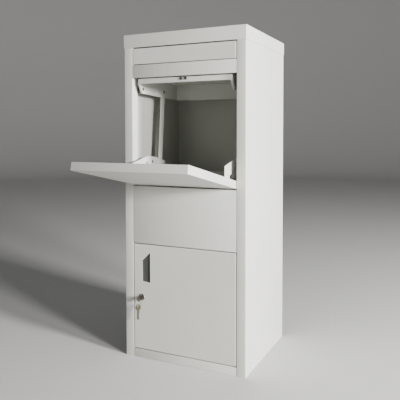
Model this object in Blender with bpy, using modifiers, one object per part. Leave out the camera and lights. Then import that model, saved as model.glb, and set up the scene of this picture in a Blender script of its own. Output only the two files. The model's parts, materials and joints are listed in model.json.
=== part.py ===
"""Parcel drop box: a free-standing cabinet of bent sheet steel with a tipping parcel hatch at the top,
a letter flap above it and a locked collection door at the bottom.

The parcel hatch, its two arms and the shelf behind it turn as one bucket about the hatch pins. An
anti-fishing hood turns about its own pins above the opening. A link bar on each side joins the hood
to the shelf, and each makes a parallelogram with the line between the two pivots, so the hood and
the hatch always turn by the same angle. The hatch stands open on its stops.

Metres, +Z up. The origin is the centre of the base's underside, and the front faces -Y.
Run it with: blender --background --python part.py
"""

import math

import bmesh
import bpy
from mathutils import Matrix, Vector

# Cabinet
WIDTH = 0.400
DEPTH = 0.360
HEIGHT = 1.000
SHEET = 0.0015  # side walls, base, back and cap
PANEL_SHEET = 0.0012  # doors, front panels, hood and shelf
GAP = 0.0003  # between pieces that touch
THROUGH = 0.0004  # how far a hole's cutter passes the sheet's faces
OVERSHOOT = 0.010  # how far a larger cutter passes the piece that it opens
STILE_WIDTH = 0.028
RETURN_DEPTH = 0.030  # the stile's edge, turned back inside
BACK_FLANGE = 0.020
FRAME_DEPTH = 0.020  # flanges of the fixed front panels
FRAME_GAP = 0.0005  # fixed front panel to stile
SEAM = 0.0015  # fixed front panel to a door above or below it
BASE_FLANGE = 0.020

# Front, from the floor up: each is the height of its opening. The middle panel fills what is left.
BOTTOM_RAIL_HEIGHT = 0.027
DOOR_OPENING = 0.330
HATCH_OPENING = 0.332
BAND_HEIGHT = 0.039
FLAP_OPENING = 0.053
CAP_HEIGHT = 0.040
CAP_PROUD = 0.002
BAND_LOWER_FLANGE = 0.007

# Collection door
DOOR_DEPTH = 0.020
DOOR_SIDE_GAP = 0.0025
DOOR_PIN_INSET = 0.004  # from the door's edge and from its face
DOOR_PIN_RADIUS = 0.002
DOOR_PIN_LENGTH = 0.012
STIFFENER_WIDTH = 0.044
STIFFENER_DEPTH = 0.012
STIFFENER_END_GAP = 0.020

# Recessed pull in the collection door: a trapezium whose long side is nearer the hinge
PULL_INSET = 0.0285  # from the door's free edge
PULL_WIDTH = 0.0285
PULL_TOP_DROP = 0.0235  # from the door's top edge
PULL_TALL = 0.094
PULL_SHORT = 0.064
PULL_FOOT = 0.003  # the short side starts this much above the long side
PULL_DEPTH = 0.0165
PULL_WALL = 0.0012
PULL_RIM = 0.004

# Cam lock
LOCK_INSET = 0.0265
LOCK_DROP = 0.1655
LOCK_RADIUS = 0.0088
LOCK_BEZEL_RADIUS = 0.0108
LOCK_BEZEL = 0.0020
PLUG_RADIUS = 0.0060
NUT_RADIUS = 0.0130
NUT_THICKNESS = 0.0040
CAM_WIDTH = 0.016
CAM_THICKNESS = 0.002
CAM_HOOK = 0.007  # how far the turned cam reaches behind the stile
CAM_CLEARANCE = 0.001
CAM_SCREW_RADIUS = 0.002
CAM_SCREW_LENGTH = 0.010  # in the plug and the cam
SCREW_HEAD_RADIUS = 0.0045
SCREW_HEAD = 0.0025

# Keys
KEY_THICKNESS = 0.0020
KEY_BLADE_WIDTH = 0.0080
KEY_BLADE_LENGTH = 0.0195
SPARE_BLADE_LENGTH = 0.024
KEY_NECK = 0.0045
KEY_BOW_RADIUS = 0.0095
KEY_HOLE_RADIUS = 0.0028
KEY_HOLE_OFFSET = 0.0052  # from the bow's centre
KEY_CLEARANCE = 0.0004
RING_RADIUS = 0.0090
RING_WIRE = 0.0008
SPARE_KEY_TURN = math.radians(-25)

# Parcel hatch
HATCH_DEPTH = 0.022
HATCH_SIDE_GAP = 0.0015
HATCH_FOOT_GAP = 0.0055  # above the middle panel
HATCH_HEAD_GAP = 0.004  # below the cross band
HATCH_PIN_DEPTH = 0.008  # behind the front face
HATCH_PIN_RISE = 0.0055  # above the hatch's lower edge
HATCH_PIN_REACH = 0.0048  # into the hatch, from its side flange's face
HATCH_OPEN = math.radians(78.5)

# Bucket behind the hatch, in its open position. Heights are above the hatch pins.
SHELF_FLOOR = 0.023
SHELF_START = 0.014
SHELF_END = 0.235
SHELF_TURNUP = 0.008
CHEEK_PEAK = 0.076
CHEEK_PEAK_DEPTH = 0.100
CHEEK_BACK = 0.053
CHEEK_BACK_DEPTH = 0.211
CHEEK_FRONT = 0.040
EAR_DROP = 0.009  # the ear's lower edge below the hatch pins
SHELF_SIDE_GAP = 0.0168  # cheek to stile
ARM_THICKNESS = 0.0015
ARM_GAP = 0.0005  # arm to cheek
ARM_FOOT = 0.014
ARM_FOOT_LOW = 0.014  # the foot's ends, measured up the closed hatch from its pins
ARM_FOOT_HIGH = 0.050
ARM_RIVET_RADIUS = 0.002
ARM_RIVET_HEAD_RADIUS = 0.004
ARM_RIVET_HEAD = 0.0012

# Hood, in its open position. It hangs close under the cross band.
HOOD_PIN_DEPTH = 0.036
HOOD_HEAD_GAP = 0.0025  # below the cross band
HOOD_SIDE_GAP = 0.015
HOOD_TOP = 0.0295  # above its pins
HOOD_FRONT = 0.008
HOOD_END = 0.264
HOOD_FRONT_FLANGE = 0.0155
HOOD_NOSE = 0.013  # the side flange's lower edge below the pins, at the front
HOOD_NOSE_DEPTH = 0.024
HOOD_TAIL = 0.023  # and at the back

# Links, pins and brackets
LINK_REACH = 0.134  # from the hatch pins to the links' lower pins
LINK_RADIUS = 0.012
LINK_THICKNESS = 0.0025
LINK_GAP = 0.001  # hood to link
PIN_RADIUS = 0.0025
PIN_CLEARANCE = 0.0003
PIN_HEAD_RADIUS = 0.005
PIN_HEAD = 0.0017
BUSH_RADIUS = 0.005
BRACKET_THICKNESS = 0.002
BRACKET_HEIGHT = 0.024
BRACKET_FRONT = 0.006
BRACKET_MARGIN = 0.010
STOP_START = 0.064
STOP_LENGTH = 0.020
STOP_REACH = 0.007  # over the hood
STOP_LEG = 0.025

# Rubber buttons on the hood's front flange
BUTTON_RADIUS = 0.0045
BUTTON_THICKNESS = 0.0020
BUTTON_PITCH = 0.015
BUTTON_DROP = 0.0050  # below the hood's top

# Letter flap
FLAP_DEPTH = 0.010
FLAP_SIDE_GAP = 0.002
FLAP_FOOT_GAP = 0.002
FLAP_HEAD_GAP = 0.003
FLAP_PIN_DEPTH = 0.0055
FLAP_PIN_DROP = 0.006  # below the flap's top edge
FLAP_ROD_RADIUS = 0.002
FLAP_SPRING_RADIUS = 0.0034
FLAP_SPRING_LENGTH = 0.030
FLAP_SPRING_INSET = 0.020  # from the flap's right edge

# Stop strip and buffers behind the collection door's free edge
STRIP_WIDTH = 0.012
STRIP_END_GAP = 0.030
BUFFER_RADIUS = 0.004
BUFFER_THICKNESS = 0.003
BUFFER_INSET = 0.040

ROUND = 24  # sides of a round piece
ROUND_ANGLE = math.radians(35)

FRONT = -DEPTH / 2
HALF_WIDTH = WIDTH / 2
OPENING_HALF = HALF_WIDTH - STILE_WIDTH
DOOR_FOOT = BOTTOM_RAIL_HEIGHT
DOOR_HEAD = DOOR_FOOT + DOOR_OPENING
CAP_FOOT = HEIGHT - CAP_HEIGHT
FLAP_FOOT = CAP_FOOT - FLAP_OPENING
BAND_FOOT = FLAP_FOOT - BAND_HEIGHT
MIDDLE_HEAD = BAND_FOOT - HATCH_OPENING
PANEL_HALF = OPENING_HALF - FRAME_GAP
CAP_UNDERSIDE = HEIGHT - SHEET - FRAME_GAP
HATCH_FOOT = MIDDLE_HEAD + HATCH_FOOT_GAP
HATCH_HEAD = BAND_FOOT - HATCH_HEAD_GAP
HATCH_PIN_HEIGHT = HATCH_FOOT + HATCH_PIN_RISE
HOOD_PIN_HEIGHT = BAND_FOOT - HOOD_HEAD_GAP - HOOD_TOP
HATCH_PIVOT = Vector((0, FRONT + HATCH_PIN_DEPTH, HATCH_PIN_HEIGHT))
HOOD_PIVOT = Vector((0, FRONT + HOOD_PIN_DEPTH, HOOD_PIN_HEIGHT))
LINK_FOOT = HATCH_PIVOT + Vector((0, LINK_REACH, 0))
LINK_HEAD = HOOD_PIVOT + Vector((0, LINK_REACH, 0))
CHEEK_OUTER = OPENING_HALF - SHELF_SIDE_GAP
CHEEK_INNER = CHEEK_OUTER - PANEL_SHEET
ARM_OUTER = CHEEK_INNER - ARM_GAP
ARM_INNER = ARM_OUTER - ARM_THICKNESS
HOOD_OUTER = OPENING_HALF - HOOD_SIDE_GAP
HOOD_INNER = HOOD_OUTER - PANEL_SHEET
LINK_INNER = HOOD_OUTER + LINK_GAP
LINK_OUTER = LINK_INNER + LINK_THICKNESS
RETURN_OUTER = OPENING_HALF + SHEET
DOOR_HALF = OPENING_HALF - DOOR_SIDE_GAP
DOOR_LOW = DOOR_FOOT + SEAM
DOOR_HIGH = DOOR_HEAD - SEAM
DOOR_PIVOT = Vector((DOOR_HALF - DOOR_PIN_INSET, FRONT + DOOR_PIN_INSET, (DOOR_LOW + DOOR_HIGH) / 2))
LOCK_PIVOT = Vector((-DOOR_HALF + LOCK_INSET, FRONT, DOOR_HIGH - LOCK_DROP))
FLAP_LOW = FLAP_FOOT + FLAP_FOOT_GAP
FLAP_HIGH = CAP_FOOT - FLAP_HEAD_GAP
FLAP_HALF = OPENING_HALF - FLAP_SIDE_GAP
FLAP_PIVOT = Vector((0, FRONT + FLAP_PIN_DEPTH, FLAP_HIGH - FLAP_PIN_DROP))
CAM_FACE = RETURN_DEPTH + CAM_CLEARANCE  # the cam's front face, behind the door's face
CAM_SCREW_START = CAM_FACE + CAM_THICKNESS + GAP - CAM_SCREW_LENGTH
KEY_BOW_AHEAD = LOCK_BEZEL + KEY_NECK + KEY_BOW_RADIUS
RING_HANG = KEY_HOLE_RADIUS - RING_WIRE - GAP  # the wire's centre from the hole's centre
RING_PIVOT = LOCK_PIVOT + Vector((0, -KEY_BOW_AHEAD - KEY_HOLE_OFFSET, -RING_HANG))
ORIGIN = Vector((0, 0, 0))

POWDER_COAT = ("powder_coat", (0.62, 0.63, 0.60), 0.55, 0.0)
STEEL = ("zinc_steel", (0.62, 0.62, 0.62), 0.35, 1.0)
CHROME = ("chrome", (0.80, 0.80, 0.80), 0.12, 1.0)
KEY_METAL = ("key_metal", (0.68, 0.66, 0.60), 0.28, 1.0)
RUBBER = ("rubber", (0.03, 0.03, 0.03), 0.80, 0.0)
BUSH_PLASTIC = ("bush_plastic", (0.05, 0.05, 0.05), 0.50, 0.0)
PULL_PLASTIC = ("pull_grey", (0.34, 0.35, 0.35), 0.60, 0.0)


def clear_scene():
    for obj in list(bpy.data.objects):
        bpy.data.objects.remove(obj, do_unlink=True)


def collection(name):
    made = bpy.data.collections.new(name)
    bpy.context.scene.collection.children.link(made)
    return made


def material(kind):
    name, color, roughness, metallic = kind
    made = bpy.data.materials.get(name) or bpy.data.materials.new(name)
    made.use_nodes = True
    shader = made.node_tree.nodes["Principled BSDF"]
    shader.inputs["Base Color"].default_value = (*color, 1)
    shader.inputs["Roughness"].default_value = roughness
    shader.inputs["Metallic"].default_value = metallic
    return made


# Shapes. Each returns a bmesh in world positions; "behind" measures from the front face.


def behind(distance):
    return FRONT + distance


def block(low, high):
    """A box between two opposite corners."""
    shape = bmesh.new()
    bmesh.ops.create_cube(shape, size=1)
    low, high = Vector(low), Vector(high)
    bmesh.ops.scale(shape, vec=high - low, verts=shape.verts)
    bmesh.ops.translate(shape, vec=(low + high) / 2, verts=shape.verts)
    return shape


def tray(low, high, open_side):
    """The skin of a box without its side that faces open_side, ready for Solidify."""
    shape = block(low, high)
    away = Vector(open_side)
    opened = [face for face in shape.faces if face.normal.dot(away) > 0.9]
    bmesh.ops.delete(shape, geom=opened, context="FACES")
    return shape


def bent(path, along, start, end):
    """A bent sheet's outer skin: path drawn out from start to end. The metal lies left of the path."""
    shape = bmesh.new()
    across = Vector((1, 0, 0)) if along == "X" else Vector((0, 0, 1))
    points = [Vector((0, u, v)) if along == "X" else Vector((u, v, 0)) for u, v in path]
    verts = [shape.verts.new(point + across * start) for point in points]
    edges = [shape.edges.new(pair) for pair in zip(verts, verts[1:])]
    drawn = bmesh.ops.extrude_edge_only(shape, edges=edges)["geom"]
    moved = [item for item in drawn if isinstance(item, bmesh.types.BMVert)]
    bmesh.ops.translate(shape, vec=across * (end - start), verts=moved)
    bmesh.ops.recalc_face_normals(shape, faces=shape.faces)
    shape.normal_update()
    outward = (points[1] - points[0]).cross(across)
    if edges[0].link_faces[0].normal.dot(outward) < 0:
        bmesh.ops.reverse_faces(shape, faces=shape.faces)
    return shape


def prism(outline, along, start, end):
    """A flat outline of (y, z) pairs drawn out along X, or of (x, z) pairs drawn out along Y."""
    shape = bmesh.new()
    along_x = along == "X"
    points = [Vector((start, u, v)) if along_x else Vector((u, start, v)) for u, v in outline]
    face = shape.faces.new([shape.verts.new(point) for point in points])
    drawn = bmesh.ops.extrude_face_region(shape, geom=[face])["geom"]
    moved = [item for item in drawn if isinstance(item, bmesh.types.BMVert)]
    step = Vector((end - start, 0, 0)) if along_x else Vector((0, end - start, 0))
    bmesh.ops.translate(shape, vec=step, verts=moved)
    bmesh.ops.recalc_face_normals(shape, faces=shape.faces)
    return shape


def rod(centre, direction, start, end, radius, sides=ROUND):
    """A cylinder along direction, from start to end measured from centre."""
    shape = bmesh.new()
    bmesh.ops.create_cone(
        shape, cap_ends=True, segments=sides, radius1=radius, radius2=radius, depth=abs(end - start)
    )
    turn = Vector(direction).to_track_quat("Z", "Y").to_matrix().to_4x4()
    middle = Vector(centre) + Vector(direction) * (start + end) / 2
    bmesh.ops.transform(shape, matrix=Matrix.Translation(middle) @ turn, verts=shape.verts)
    return shape


def slot_outline(first, last, radius):
    """Outline of a bar with round ends about two (y, z) points, running counter-clockwise."""
    heading = math.atan2(last[1] - first[1], last[0] - first[0])
    outline = []
    for centre, begin in ((last, heading - math.pi / 2), (first, heading + math.pi / 2)):
        for step in range(ROUND // 2 + 1):
            angle = begin + math.pi * step / (ROUND // 2)
            outline.append((centre[0] + radius * math.cos(angle), centre[1] + radius * math.sin(angle)))
    return outline


# Objects


def shade_round(mesh):
    """Smooth shading round a curve, with every edge sharper than ROUND_ANGLE left crisp."""
    mesh.shade_smooth()
    mesh.set_sharp_from_angle(angle=ROUND_ANGLE)


def add(name, shape, kind, pivot=ORIGIN, turn=0.0):
    """An object with its origin on pivot. turn rotates it about the X axis through pivot."""
    bmesh.ops.translate(shape, vec=-Vector(pivot), verts=shape.verts)
    mesh = bpy.data.meshes.new(name)
    shape.to_mesh(mesh)
    shape.free()
    shade_round(mesh)
    mesh.materials.append(material(kind))
    made = bpy.data.objects.new(name, mesh)
    made.location = pivot
    made.rotation_euler = (turn, 0, 0)
    PARTS.objects.link(made)
    return made


def helper(name, shape, owner):
    """A hidden solid, fixed to its owner, that the owner's modifiers use."""
    bmesh.ops.translate(shape, vec=-owner.location, verts=shape.verts)
    mesh = bpy.data.meshes.new(name)
    shape.to_mesh(mesh)
    shape.free()
    made = bpy.data.objects.new(name, mesh)
    made.parent = owner
    made.hide_render = True
    made.display_type = "WIRE"
    CUTTERS.objects.link(made)
    return made


def combine(owner, shape, operation):
    other = helper(f"{owner.name}_{operation.lower()}_{len(owner.modifiers)}", shape, owner)
    modifier = owner.modifiers.new(operation.title(), "BOOLEAN")
    modifier.operation = operation
    modifier.object = other
    return other


def cut(owner, shape):
    return combine(owner, shape, "DIFFERENCE")


def join(owner, shape):
    return combine(owner, shape, "UNION")


def thicken(owner, thickness):
    """Makes a skin into sheet metal. Bent sheet is flat between its bends, so it is shaded flat."""
    owner.data.shade_flat()
    modifier = owner.modifiers.new("Sheet", "SOLIDIFY")
    modifier.thickness = thickness
    modifier.offset = -1
    modifier.use_even_offset = True
    return owner


def turned(name, profile, kind, place, direction):
    """A body turned about direction. profile holds (radius, height) pairs, down the outer side."""
    mesh = bpy.data.meshes.new(name)
    count = len(profile)
    is_ring = profile[0][0] > 0
    edges = [(index, (index + 1) % count) for index in range(count if is_ring else count - 1)]
    mesh.from_pydata([(radius, 0, height) for radius, height in profile], edges, [])
    mesh.materials.append(material(kind))
    made = bpy.data.objects.new(name, mesh)
    made.location = place
    made.rotation_euler = Vector(direction).to_track_quat("Z", "Y").to_euler()
    PARTS.objects.link(made)
    screw = made.modifiers.new("Turn", "SCREW")
    screw.axis = "Z"
    screw.steps = screw.render_steps = ROUND
    screw.use_merge_vertices = True
    screw.merge_threshold = 0.00001
    return made


def hang(name, pivot, pieces):
    """Parents a moving body's pieces to an empty on its joint's axis."""
    empty = bpy.data.objects.new(name, None)
    empty.location = pivot
    PARTS.objects.link(empty)
    for piece in pieces:
        piece.parent = empty
        piece.matrix_parent_inverse = Matrix.Translation(-Vector(pivot))


def on_sides(make):
    """Calls make(side name, x sign) for the left and the right side."""
    return [make("left", -1), make("right", 1)]


# Fixed pieces


def side_panel(side, sign):
    """Side wall, stile and the stile's return: one bent sheet, with a flange for the back panel."""
    back_face = behind(DEPTH - SHEET - GAP)
    path = [
        (OPENING_HALF, behind(RETURN_DEPTH)),
        (OPENING_HALF, FRONT),
        (HALF_WIDTH, FRONT),
        (HALF_WIDTH, back_face),
        (HALF_WIDTH - BACK_FLANGE, back_face),
    ]
    if sign < 0:
        path = [(-x, y) for x, y in reversed(path)]
    panel = thicken(add(f"{side}_side_panel", bent(path, "Z", 0, CAP_UNDERSIDE), POWDER_COAT), SHEET)
    for pivot, radius in ((HATCH_PIVOT, PIN_RADIUS), (FLAP_PIVOT, FLAP_ROD_RADIUS)):
        hole = radius + PIN_CLEARANCE
        cut(panel, rod(pivot, (sign, 0, 0), OPENING_HALF - THROUGH, RETURN_OUTER + THROUGH, hole))
    return panel


def base_pan():
    half = HALF_WIDTH - SHEET - GAP
    low = (-half, behind(RETURN_DEPTH + GAP), 0)
    high = (half, behind(DEPTH - 2 * (SHEET + GAP)), BASE_FLANGE)
    return thicken(add("base_pan", tray(low, high, (0, 0, 1)), POWDER_COAT), SHEET)


def back_panel():
    low = (-HALF_WIDTH + GAP, behind(DEPTH - SHEET), 0)
    high = (HALF_WIDTH - GAP, behind(DEPTH), CAP_FOOT - GAP)
    return add("back_panel", block(low, high), POWDER_COAT)


def top_cap():
    low = (-HALF_WIDTH - CAP_PROUD, FRONT - CAP_PROUD, CAP_FOOT)
    high = (HALF_WIDTH + CAP_PROUD, behind(DEPTH), HEIGHT)
    return thicken(add("top_cap", tray(low, high, (0, 0, -1)), POWDER_COAT), SHEET)


def front_channel(name, low, high, upper_flange, lower_flange):
    """A fixed front panel: a skin with an upper and a lower flange turned back."""
    path = [
        (behind(upper_flange), high),
        (FRONT, high),
        (FRONT, low),
        (behind(lower_flange), low),
    ]
    return thicken(add(name, bent(path, "X", -PANEL_HALF, PANEL_HALF), POWDER_COAT), PANEL_SHEET)


def front_panels():
    front_channel("top_rail", CAP_FOOT + SHEET, CAP_UNDERSIDE, FRAME_DEPTH, FRAME_DEPTH)
    front_channel("cross_band", BAND_FOOT, FLAP_FOOT, FRAME_DEPTH, BAND_LOWER_FLANGE)
    middle = front_channel("middle_panel", DOOR_HEAD + SEAM, MIDDLE_HEAD, FRAME_DEPTH, FRAME_DEPTH)
    rail = front_channel("bottom_rail", 0, DOOR_FOOT - SEAM, FRAME_DEPTH, FRAME_DEPTH)
    for panel, height in ((middle, DOOR_HEAD + SEAM), (rail, DOOR_FOOT - SEAM)):
        place = (DOOR_PIVOT.x, DOOR_PIVOT.y, height)
        reach = PANEL_SHEET + THROUGH
        cut(panel, rod(place, (0, 0, 1), -reach, reach, DOOR_PIN_RADIUS + PIN_CLEARANCE))


def hood_bracket(side, sign):
    """A plate on the stile's return that carries the hood's pin behind the stile."""
    inner = (RETURN_OUTER + GAP) * sign
    outer = inner + BRACKET_THICKNESS * sign
    low = (min(inner, outer), behind(BRACKET_FRONT), HOOD_PIVOT.z - BRACKET_HEIGHT / 2)
    high = (max(inner, outer), HOOD_PIVOT.y + BRACKET_MARGIN, HOOD_PIVOT.z + BRACKET_HEIGHT / 2)
    bracket = add(f"hood_bracket_{side}", block(low, high), STEEL)
    hole = PIN_RADIUS + PIN_CLEARANCE
    cut(bracket, rod(HOOD_PIVOT, (sign, 0, 0), abs(inner) - THROUGH, abs(outer) + THROUGH, hole))


def headed_pin(name, pivot, sign, outer_head, inner_end, inner_head, kind=STEEL):
    """A pin along X: its head sits at outer_head and its shaft runs in to inner_end, where it may
    be riveted over."""
    profile = [
        (0, outer_head + PIN_HEAD),
        (PIN_HEAD_RADIUS, outer_head + PIN_HEAD),
        (PIN_HEAD_RADIUS, outer_head),
        (PIN_RADIUS, outer_head),
        (PIN_RADIUS, inner_end),
    ]
    if inner_head:
        profile += [(PIN_HEAD_RADIUS, inner_end), (PIN_HEAD_RADIUS, inner_end - PIN_HEAD)]
        inner_end -= PIN_HEAD
    profile.append((0, inner_end))
    return turned(name, profile, kind, pivot, (sign, 0, 0))


def hood_pivot_set(side, sign):
    hood_bracket(side, sign)
    bracket_outer = RETURN_OUTER + GAP + BRACKET_THICKNESS
    headed_pin(f"hood_pin_{side}", HOOD_PIVOT, sign, bracket_outer + GAP, HOOD_INNER - GAP, True)
    inner, outer = HOOD_OUTER + GAP, RETURN_OUTER
    bore = PIN_RADIUS + PIN_CLEARANCE
    profile = [(BUSH_RADIUS, outer), (BUSH_RADIUS, inner), (bore, inner), (bore, outer)]
    turned(f"hood_bush_{side}", profile, BUSH_PLASTIC, HOOD_PIVOT, (sign, 0, 0))


def hatch_pin(side, sign):
    inner_end = OPENING_HALF - HATCH_SIDE_GAP - HATCH_PIN_REACH
    headed_pin(f"hatch_pin_{side}", HATCH_PIVOT, sign, RETURN_OUTER + GAP, inner_end, False)


def hatch_stop(side, sign):
    """An angle on the side wall. Its leg lies over the raised hood and so holds the hatch open."""
    wall = HALF_WIDTH - SHEET - GAP
    underside = HOOD_PIVOT.z + HOOD_TOP + GAP
    path = [
        (wall, underside + STOP_LEG),
        (wall, underside),
        (HOOD_OUTER - STOP_REACH, underside),
    ]
    shape = bmesh.new()
    verts = [shape.verts.new((x * sign, behind(STOP_START), z)) for x, z in path]
    edges = [shape.edges.new(pair) for pair in zip(verts, verts[1:])]
    drawn = bmesh.ops.extrude_edge_only(shape, edges=edges)["geom"]
    moved = [item for item in drawn if isinstance(item, bmesh.types.BMVert)]
    bmesh.ops.translate(shape, vec=(0, STOP_LENGTH, 0), verts=moved)
    for face in shape.faces:
        face.normal_update()
        outward = Vector((sign, 0, -1))
        if face.normal.dot(outward) < 0:
            face.normal_flip()
    thicken(add(f"hatch_stop_{side}", shape, STEEL), BRACKET_THICKNESS)


def door_stop():
    """A strip on the left stile's return, with two buffers that the closed door rests on."""
    face = DOOR_DEPTH + BUFFER_THICKNESS + 2 * GAP
    outer = -OPENING_HALF + GAP
    path = [
        (outer, behind(RETURN_DEPTH)),
        (outer, behind(face)),
        (outer + STRIP_WIDTH, behind(face)),
    ]
    low, high = DOOR_FOOT + STRIP_END_GAP, DOOR_HEAD - STRIP_END_GAP
    thicken(add("door_stop_strip", bent(path, "Z", low, high), POWDER_COAT), PANEL_SHEET)
    for name, height in (("upper", high - BUFFER_INSET), ("lower", low + BUFFER_INSET)):
        centre = (outer + STRIP_WIDTH / 2 + PANEL_SHEET / 2, behind(face), height)
        shape = rod(centre, (0, -1, 0), GAP, BUFFER_THICKNESS + GAP, BUFFER_RADIUS)
        add(f"door_buffer_{name}", shape, RUBBER)


def door_pins():
    """Upright pins through the door's flanges and the flanges of the panels above and below it."""
    for name, height in (("upper", DOOR_HEAD), ("lower", DOOR_FOOT)):
        place = (DOOR_PIVOT.x, DOOR_PIVOT.y, height)
        half = DOOR_PIN_LENGTH / 2
        add(f"door_pin_{name}", rod(place, (0, 0, 1), -half, half, DOOR_PIN_RADIUS), STEEL)


def flap_rod():
    reach = RETURN_OUTER + PIN_HEAD
    add("flap_rod", rod(FLAP_PIVOT, (1, 0, 0), -reach, reach, FLAP_ROD_RADIUS), STEEL)
    bore = FLAP_ROD_RADIUS + PIN_CLEARANCE
    end = FLAP_HALF - FLAP_SPRING_INSET
    start = end - FLAP_SPRING_LENGTH
    profile = [(FLAP_SPRING_RADIUS, end), (FLAP_SPRING_RADIUS, start), (bore, start), (bore, end)]
    turned("flap_spring", profile, STEEL, FLAP_PIVOT, (1, 0, 0))


# Letter flap


def letter_flap():
    low = (-FLAP_HALF, FRONT, FLAP_LOW)
    high = (FLAP_HALF, behind(FLAP_DEPTH), FLAP_HIGH)
    flap = thicken(add("letter_flap", tray(low, high, (0, 1, 0)), POWDER_COAT), PANEL_SHEET)
    hole = FLAP_ROD_RADIUS + PIN_CLEARANCE
    for sign in (-1, 1):
        inner = FLAP_HALF - PANEL_SHEET
        cut(flap, rod(FLAP_PIVOT, (sign, 0, 0), inner - THROUGH, FLAP_HALF + THROUGH, hole))
    hang("letter_flap_pivot", FLAP_PIVOT, [flap])


# Hatch, arms and shelf


def hatch_door():
    """The hatch, drawn closed and turned about its pins to its open position."""
    half = OPENING_HALF - HATCH_SIDE_GAP
    low = (-half, FRONT, HATCH_FOOT)
    high = (half, behind(HATCH_DEPTH), HATCH_HEAD)
    door = add("hatch_door", tray(low, high, (0, 1, 0)), POWDER_COAT, HATCH_PIVOT, HATCH_OPEN)
    thicken(door, PANEL_SHEET)
    hole = PIN_RADIUS + PIN_CLEARANCE
    for sign in (-1, 1):
        cut(door, rod(HATCH_PIVOT, (sign, 0, 0), half - PANEL_SHEET - THROUGH, half + THROUGH, hole))
    return door


def at_pins(depth, rise):
    """A (y, z) point given by its depth behind the front and its height above the hatch pins."""
    return (behind(depth), HATCH_PIVOT.z + rise)


ARM_RIVETS = ((0.050, 0.057), (0.085, 0.061))
ARM_OUTLINE = (
    (-0.043, 0.0045),
    (-0.041, 0.060),
    (0.054, 0.079),
    (0.100, 0.076),
    (0.100, 0.043),
    (-0.006, 0.032),
    (-0.006, -0.0030),
)


def arm(side, sign):
    """A plate from the hatch's inner face to the shelf's cheek, with a foot folded onto the hatch."""
    outline = [at_pins(depth, rise) for depth, rise in ARM_OUTLINE]
    plate = prism(outline, "X", ARM_INNER * sign, ARM_OUTER * sign)
    piece = add(f"hatch_arm_{side}", plate, POWDER_COAT)
    foot_start = behind(PANEL_SHEET + GAP)
    left, right = sorted((ARM_OUTER * sign, (ARM_INNER - ARM_FOOT) * sign))
    foot = block(
        (left, foot_start, HATCH_PIVOT.z + ARM_FOOT_LOW),
        (right, foot_start + ARM_THICKNESS, HATCH_PIVOT.z + ARM_FOOT_HIGH),
    )
    swing = (
        Matrix.Translation(HATCH_PIVOT)
        @ Matrix.Rotation(HATCH_OPEN, 4, "X")
        @ Matrix.Translation(-HATCH_PIVOT)
    )
    bmesh.ops.transform(foot, matrix=swing, verts=foot.verts)
    join(piece, foot)
    for depth, rise in ARM_RIVETS:
        y, z = at_pins(depth, rise)
        hole = ARM_RIVET_RADIUS + GAP
        cut(piece, rod((0, y, z), (sign, 0, 0), ARM_INNER - THROUGH, ARM_OUTER + THROUGH, hole))
    return piece


def arm_rivets(side, sign):
    """The rivets that join an arm to the shelf's cheek."""
    made = []
    inner, outer = ARM_INNER - GAP, CHEEK_OUTER + GAP
    for number, (depth, rise) in enumerate(ARM_RIVETS, start=1):
        y, z = at_pins(depth, rise)
        profile = [
            (0, outer + ARM_RIVET_HEAD),
            (ARM_RIVET_HEAD_RADIUS, outer + ARM_RIVET_HEAD),
            (ARM_RIVET_HEAD_RADIUS, outer),
            (ARM_RIVET_RADIUS, outer),
            (ARM_RIVET_RADIUS, inner),
            (ARM_RIVET_HEAD_RADIUS, inner),
            (ARM_RIVET_HEAD_RADIUS, inner - ARM_RIVET_HEAD),
            (0, inner - ARM_RIVET_HEAD),
        ]
        made.append(turned(f"arm_rivet_{side}_{number}", profile, STEEL, (0, y, z), (sign, 0, 0)))
    return made


def shelf():
    """A tray with two cheeks. Below its floor each cheek has an ear for the link's lower pin."""
    floor = SHELF_FLOOR
    ear = LINK_REACH + HATCH_PIN_DEPTH
    outline = [
        (SHELF_START, floor - PANEL_SHEET),
        (ear - 2 * LINK_RADIUS, floor - PANEL_SHEET),
        (ear - LINK_RADIUS, -EAR_DROP),
        (ear + LINK_RADIUS, -EAR_DROP),
        (ear + 2 * LINK_RADIUS, floor - PANEL_SHEET),
        (SHELF_END, floor - PANEL_SHEET),
        (SHELF_END, floor + SHELF_TURNUP),
        (CHEEK_BACK_DEPTH, CHEEK_BACK),
        (CHEEK_PEAK_DEPTH, CHEEK_PEAK),
        (SHELF_START, CHEEK_FRONT),
    ]
    points = [at_pins(depth, rise) for depth, rise in outline]
    piece = add("shelf", prism(points, "X", -CHEEK_OUTER, CHEEK_OUTER), POWDER_COAT)
    start, lowest = at_pins(SHELF_START - OVERSHOOT, -EAR_DROP - OVERSHOOT)
    end, highest = at_pins(SHELF_END + OVERSHOOT, CHEEK_PEAK + OVERSHOOT)
    level = HATCH_PIVOT.z + floor
    cut(piece, block((-CHEEK_INNER, start, level), (CHEEK_INNER, end, highest)))
    cut(piece, block((-CHEEK_INNER, start, lowest), (CHEEK_INNER, end, level - PANEL_SHEET)))
    pin_hole = PIN_RADIUS + PIN_CLEARANCE
    for sign in (-1, 1):
        cut(piece, rod(LINK_FOOT, (sign, 0, 0), CHEEK_INNER - THROUGH, CHEEK_OUTER + THROUGH, pin_hole))
        for depth, rise in ARM_RIVETS:
            y, z = at_pins(depth, rise)
            hole = ARM_RIVET_RADIUS + GAP
            cut(piece, rod((0, y, z), (sign, 0, 0), CHEEK_INNER - THROUGH, CHEEK_OUTER + THROUGH, hole))
    return piece


def hatch():
    pieces = [hatch_door(), shelf()]
    pieces += on_sides(arm)
    for rivets in on_sides(arm_rivets):
        pieces += rivets
    hang("hatch_pivot", HATCH_PIVOT, pieces)


# Hood and links


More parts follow.
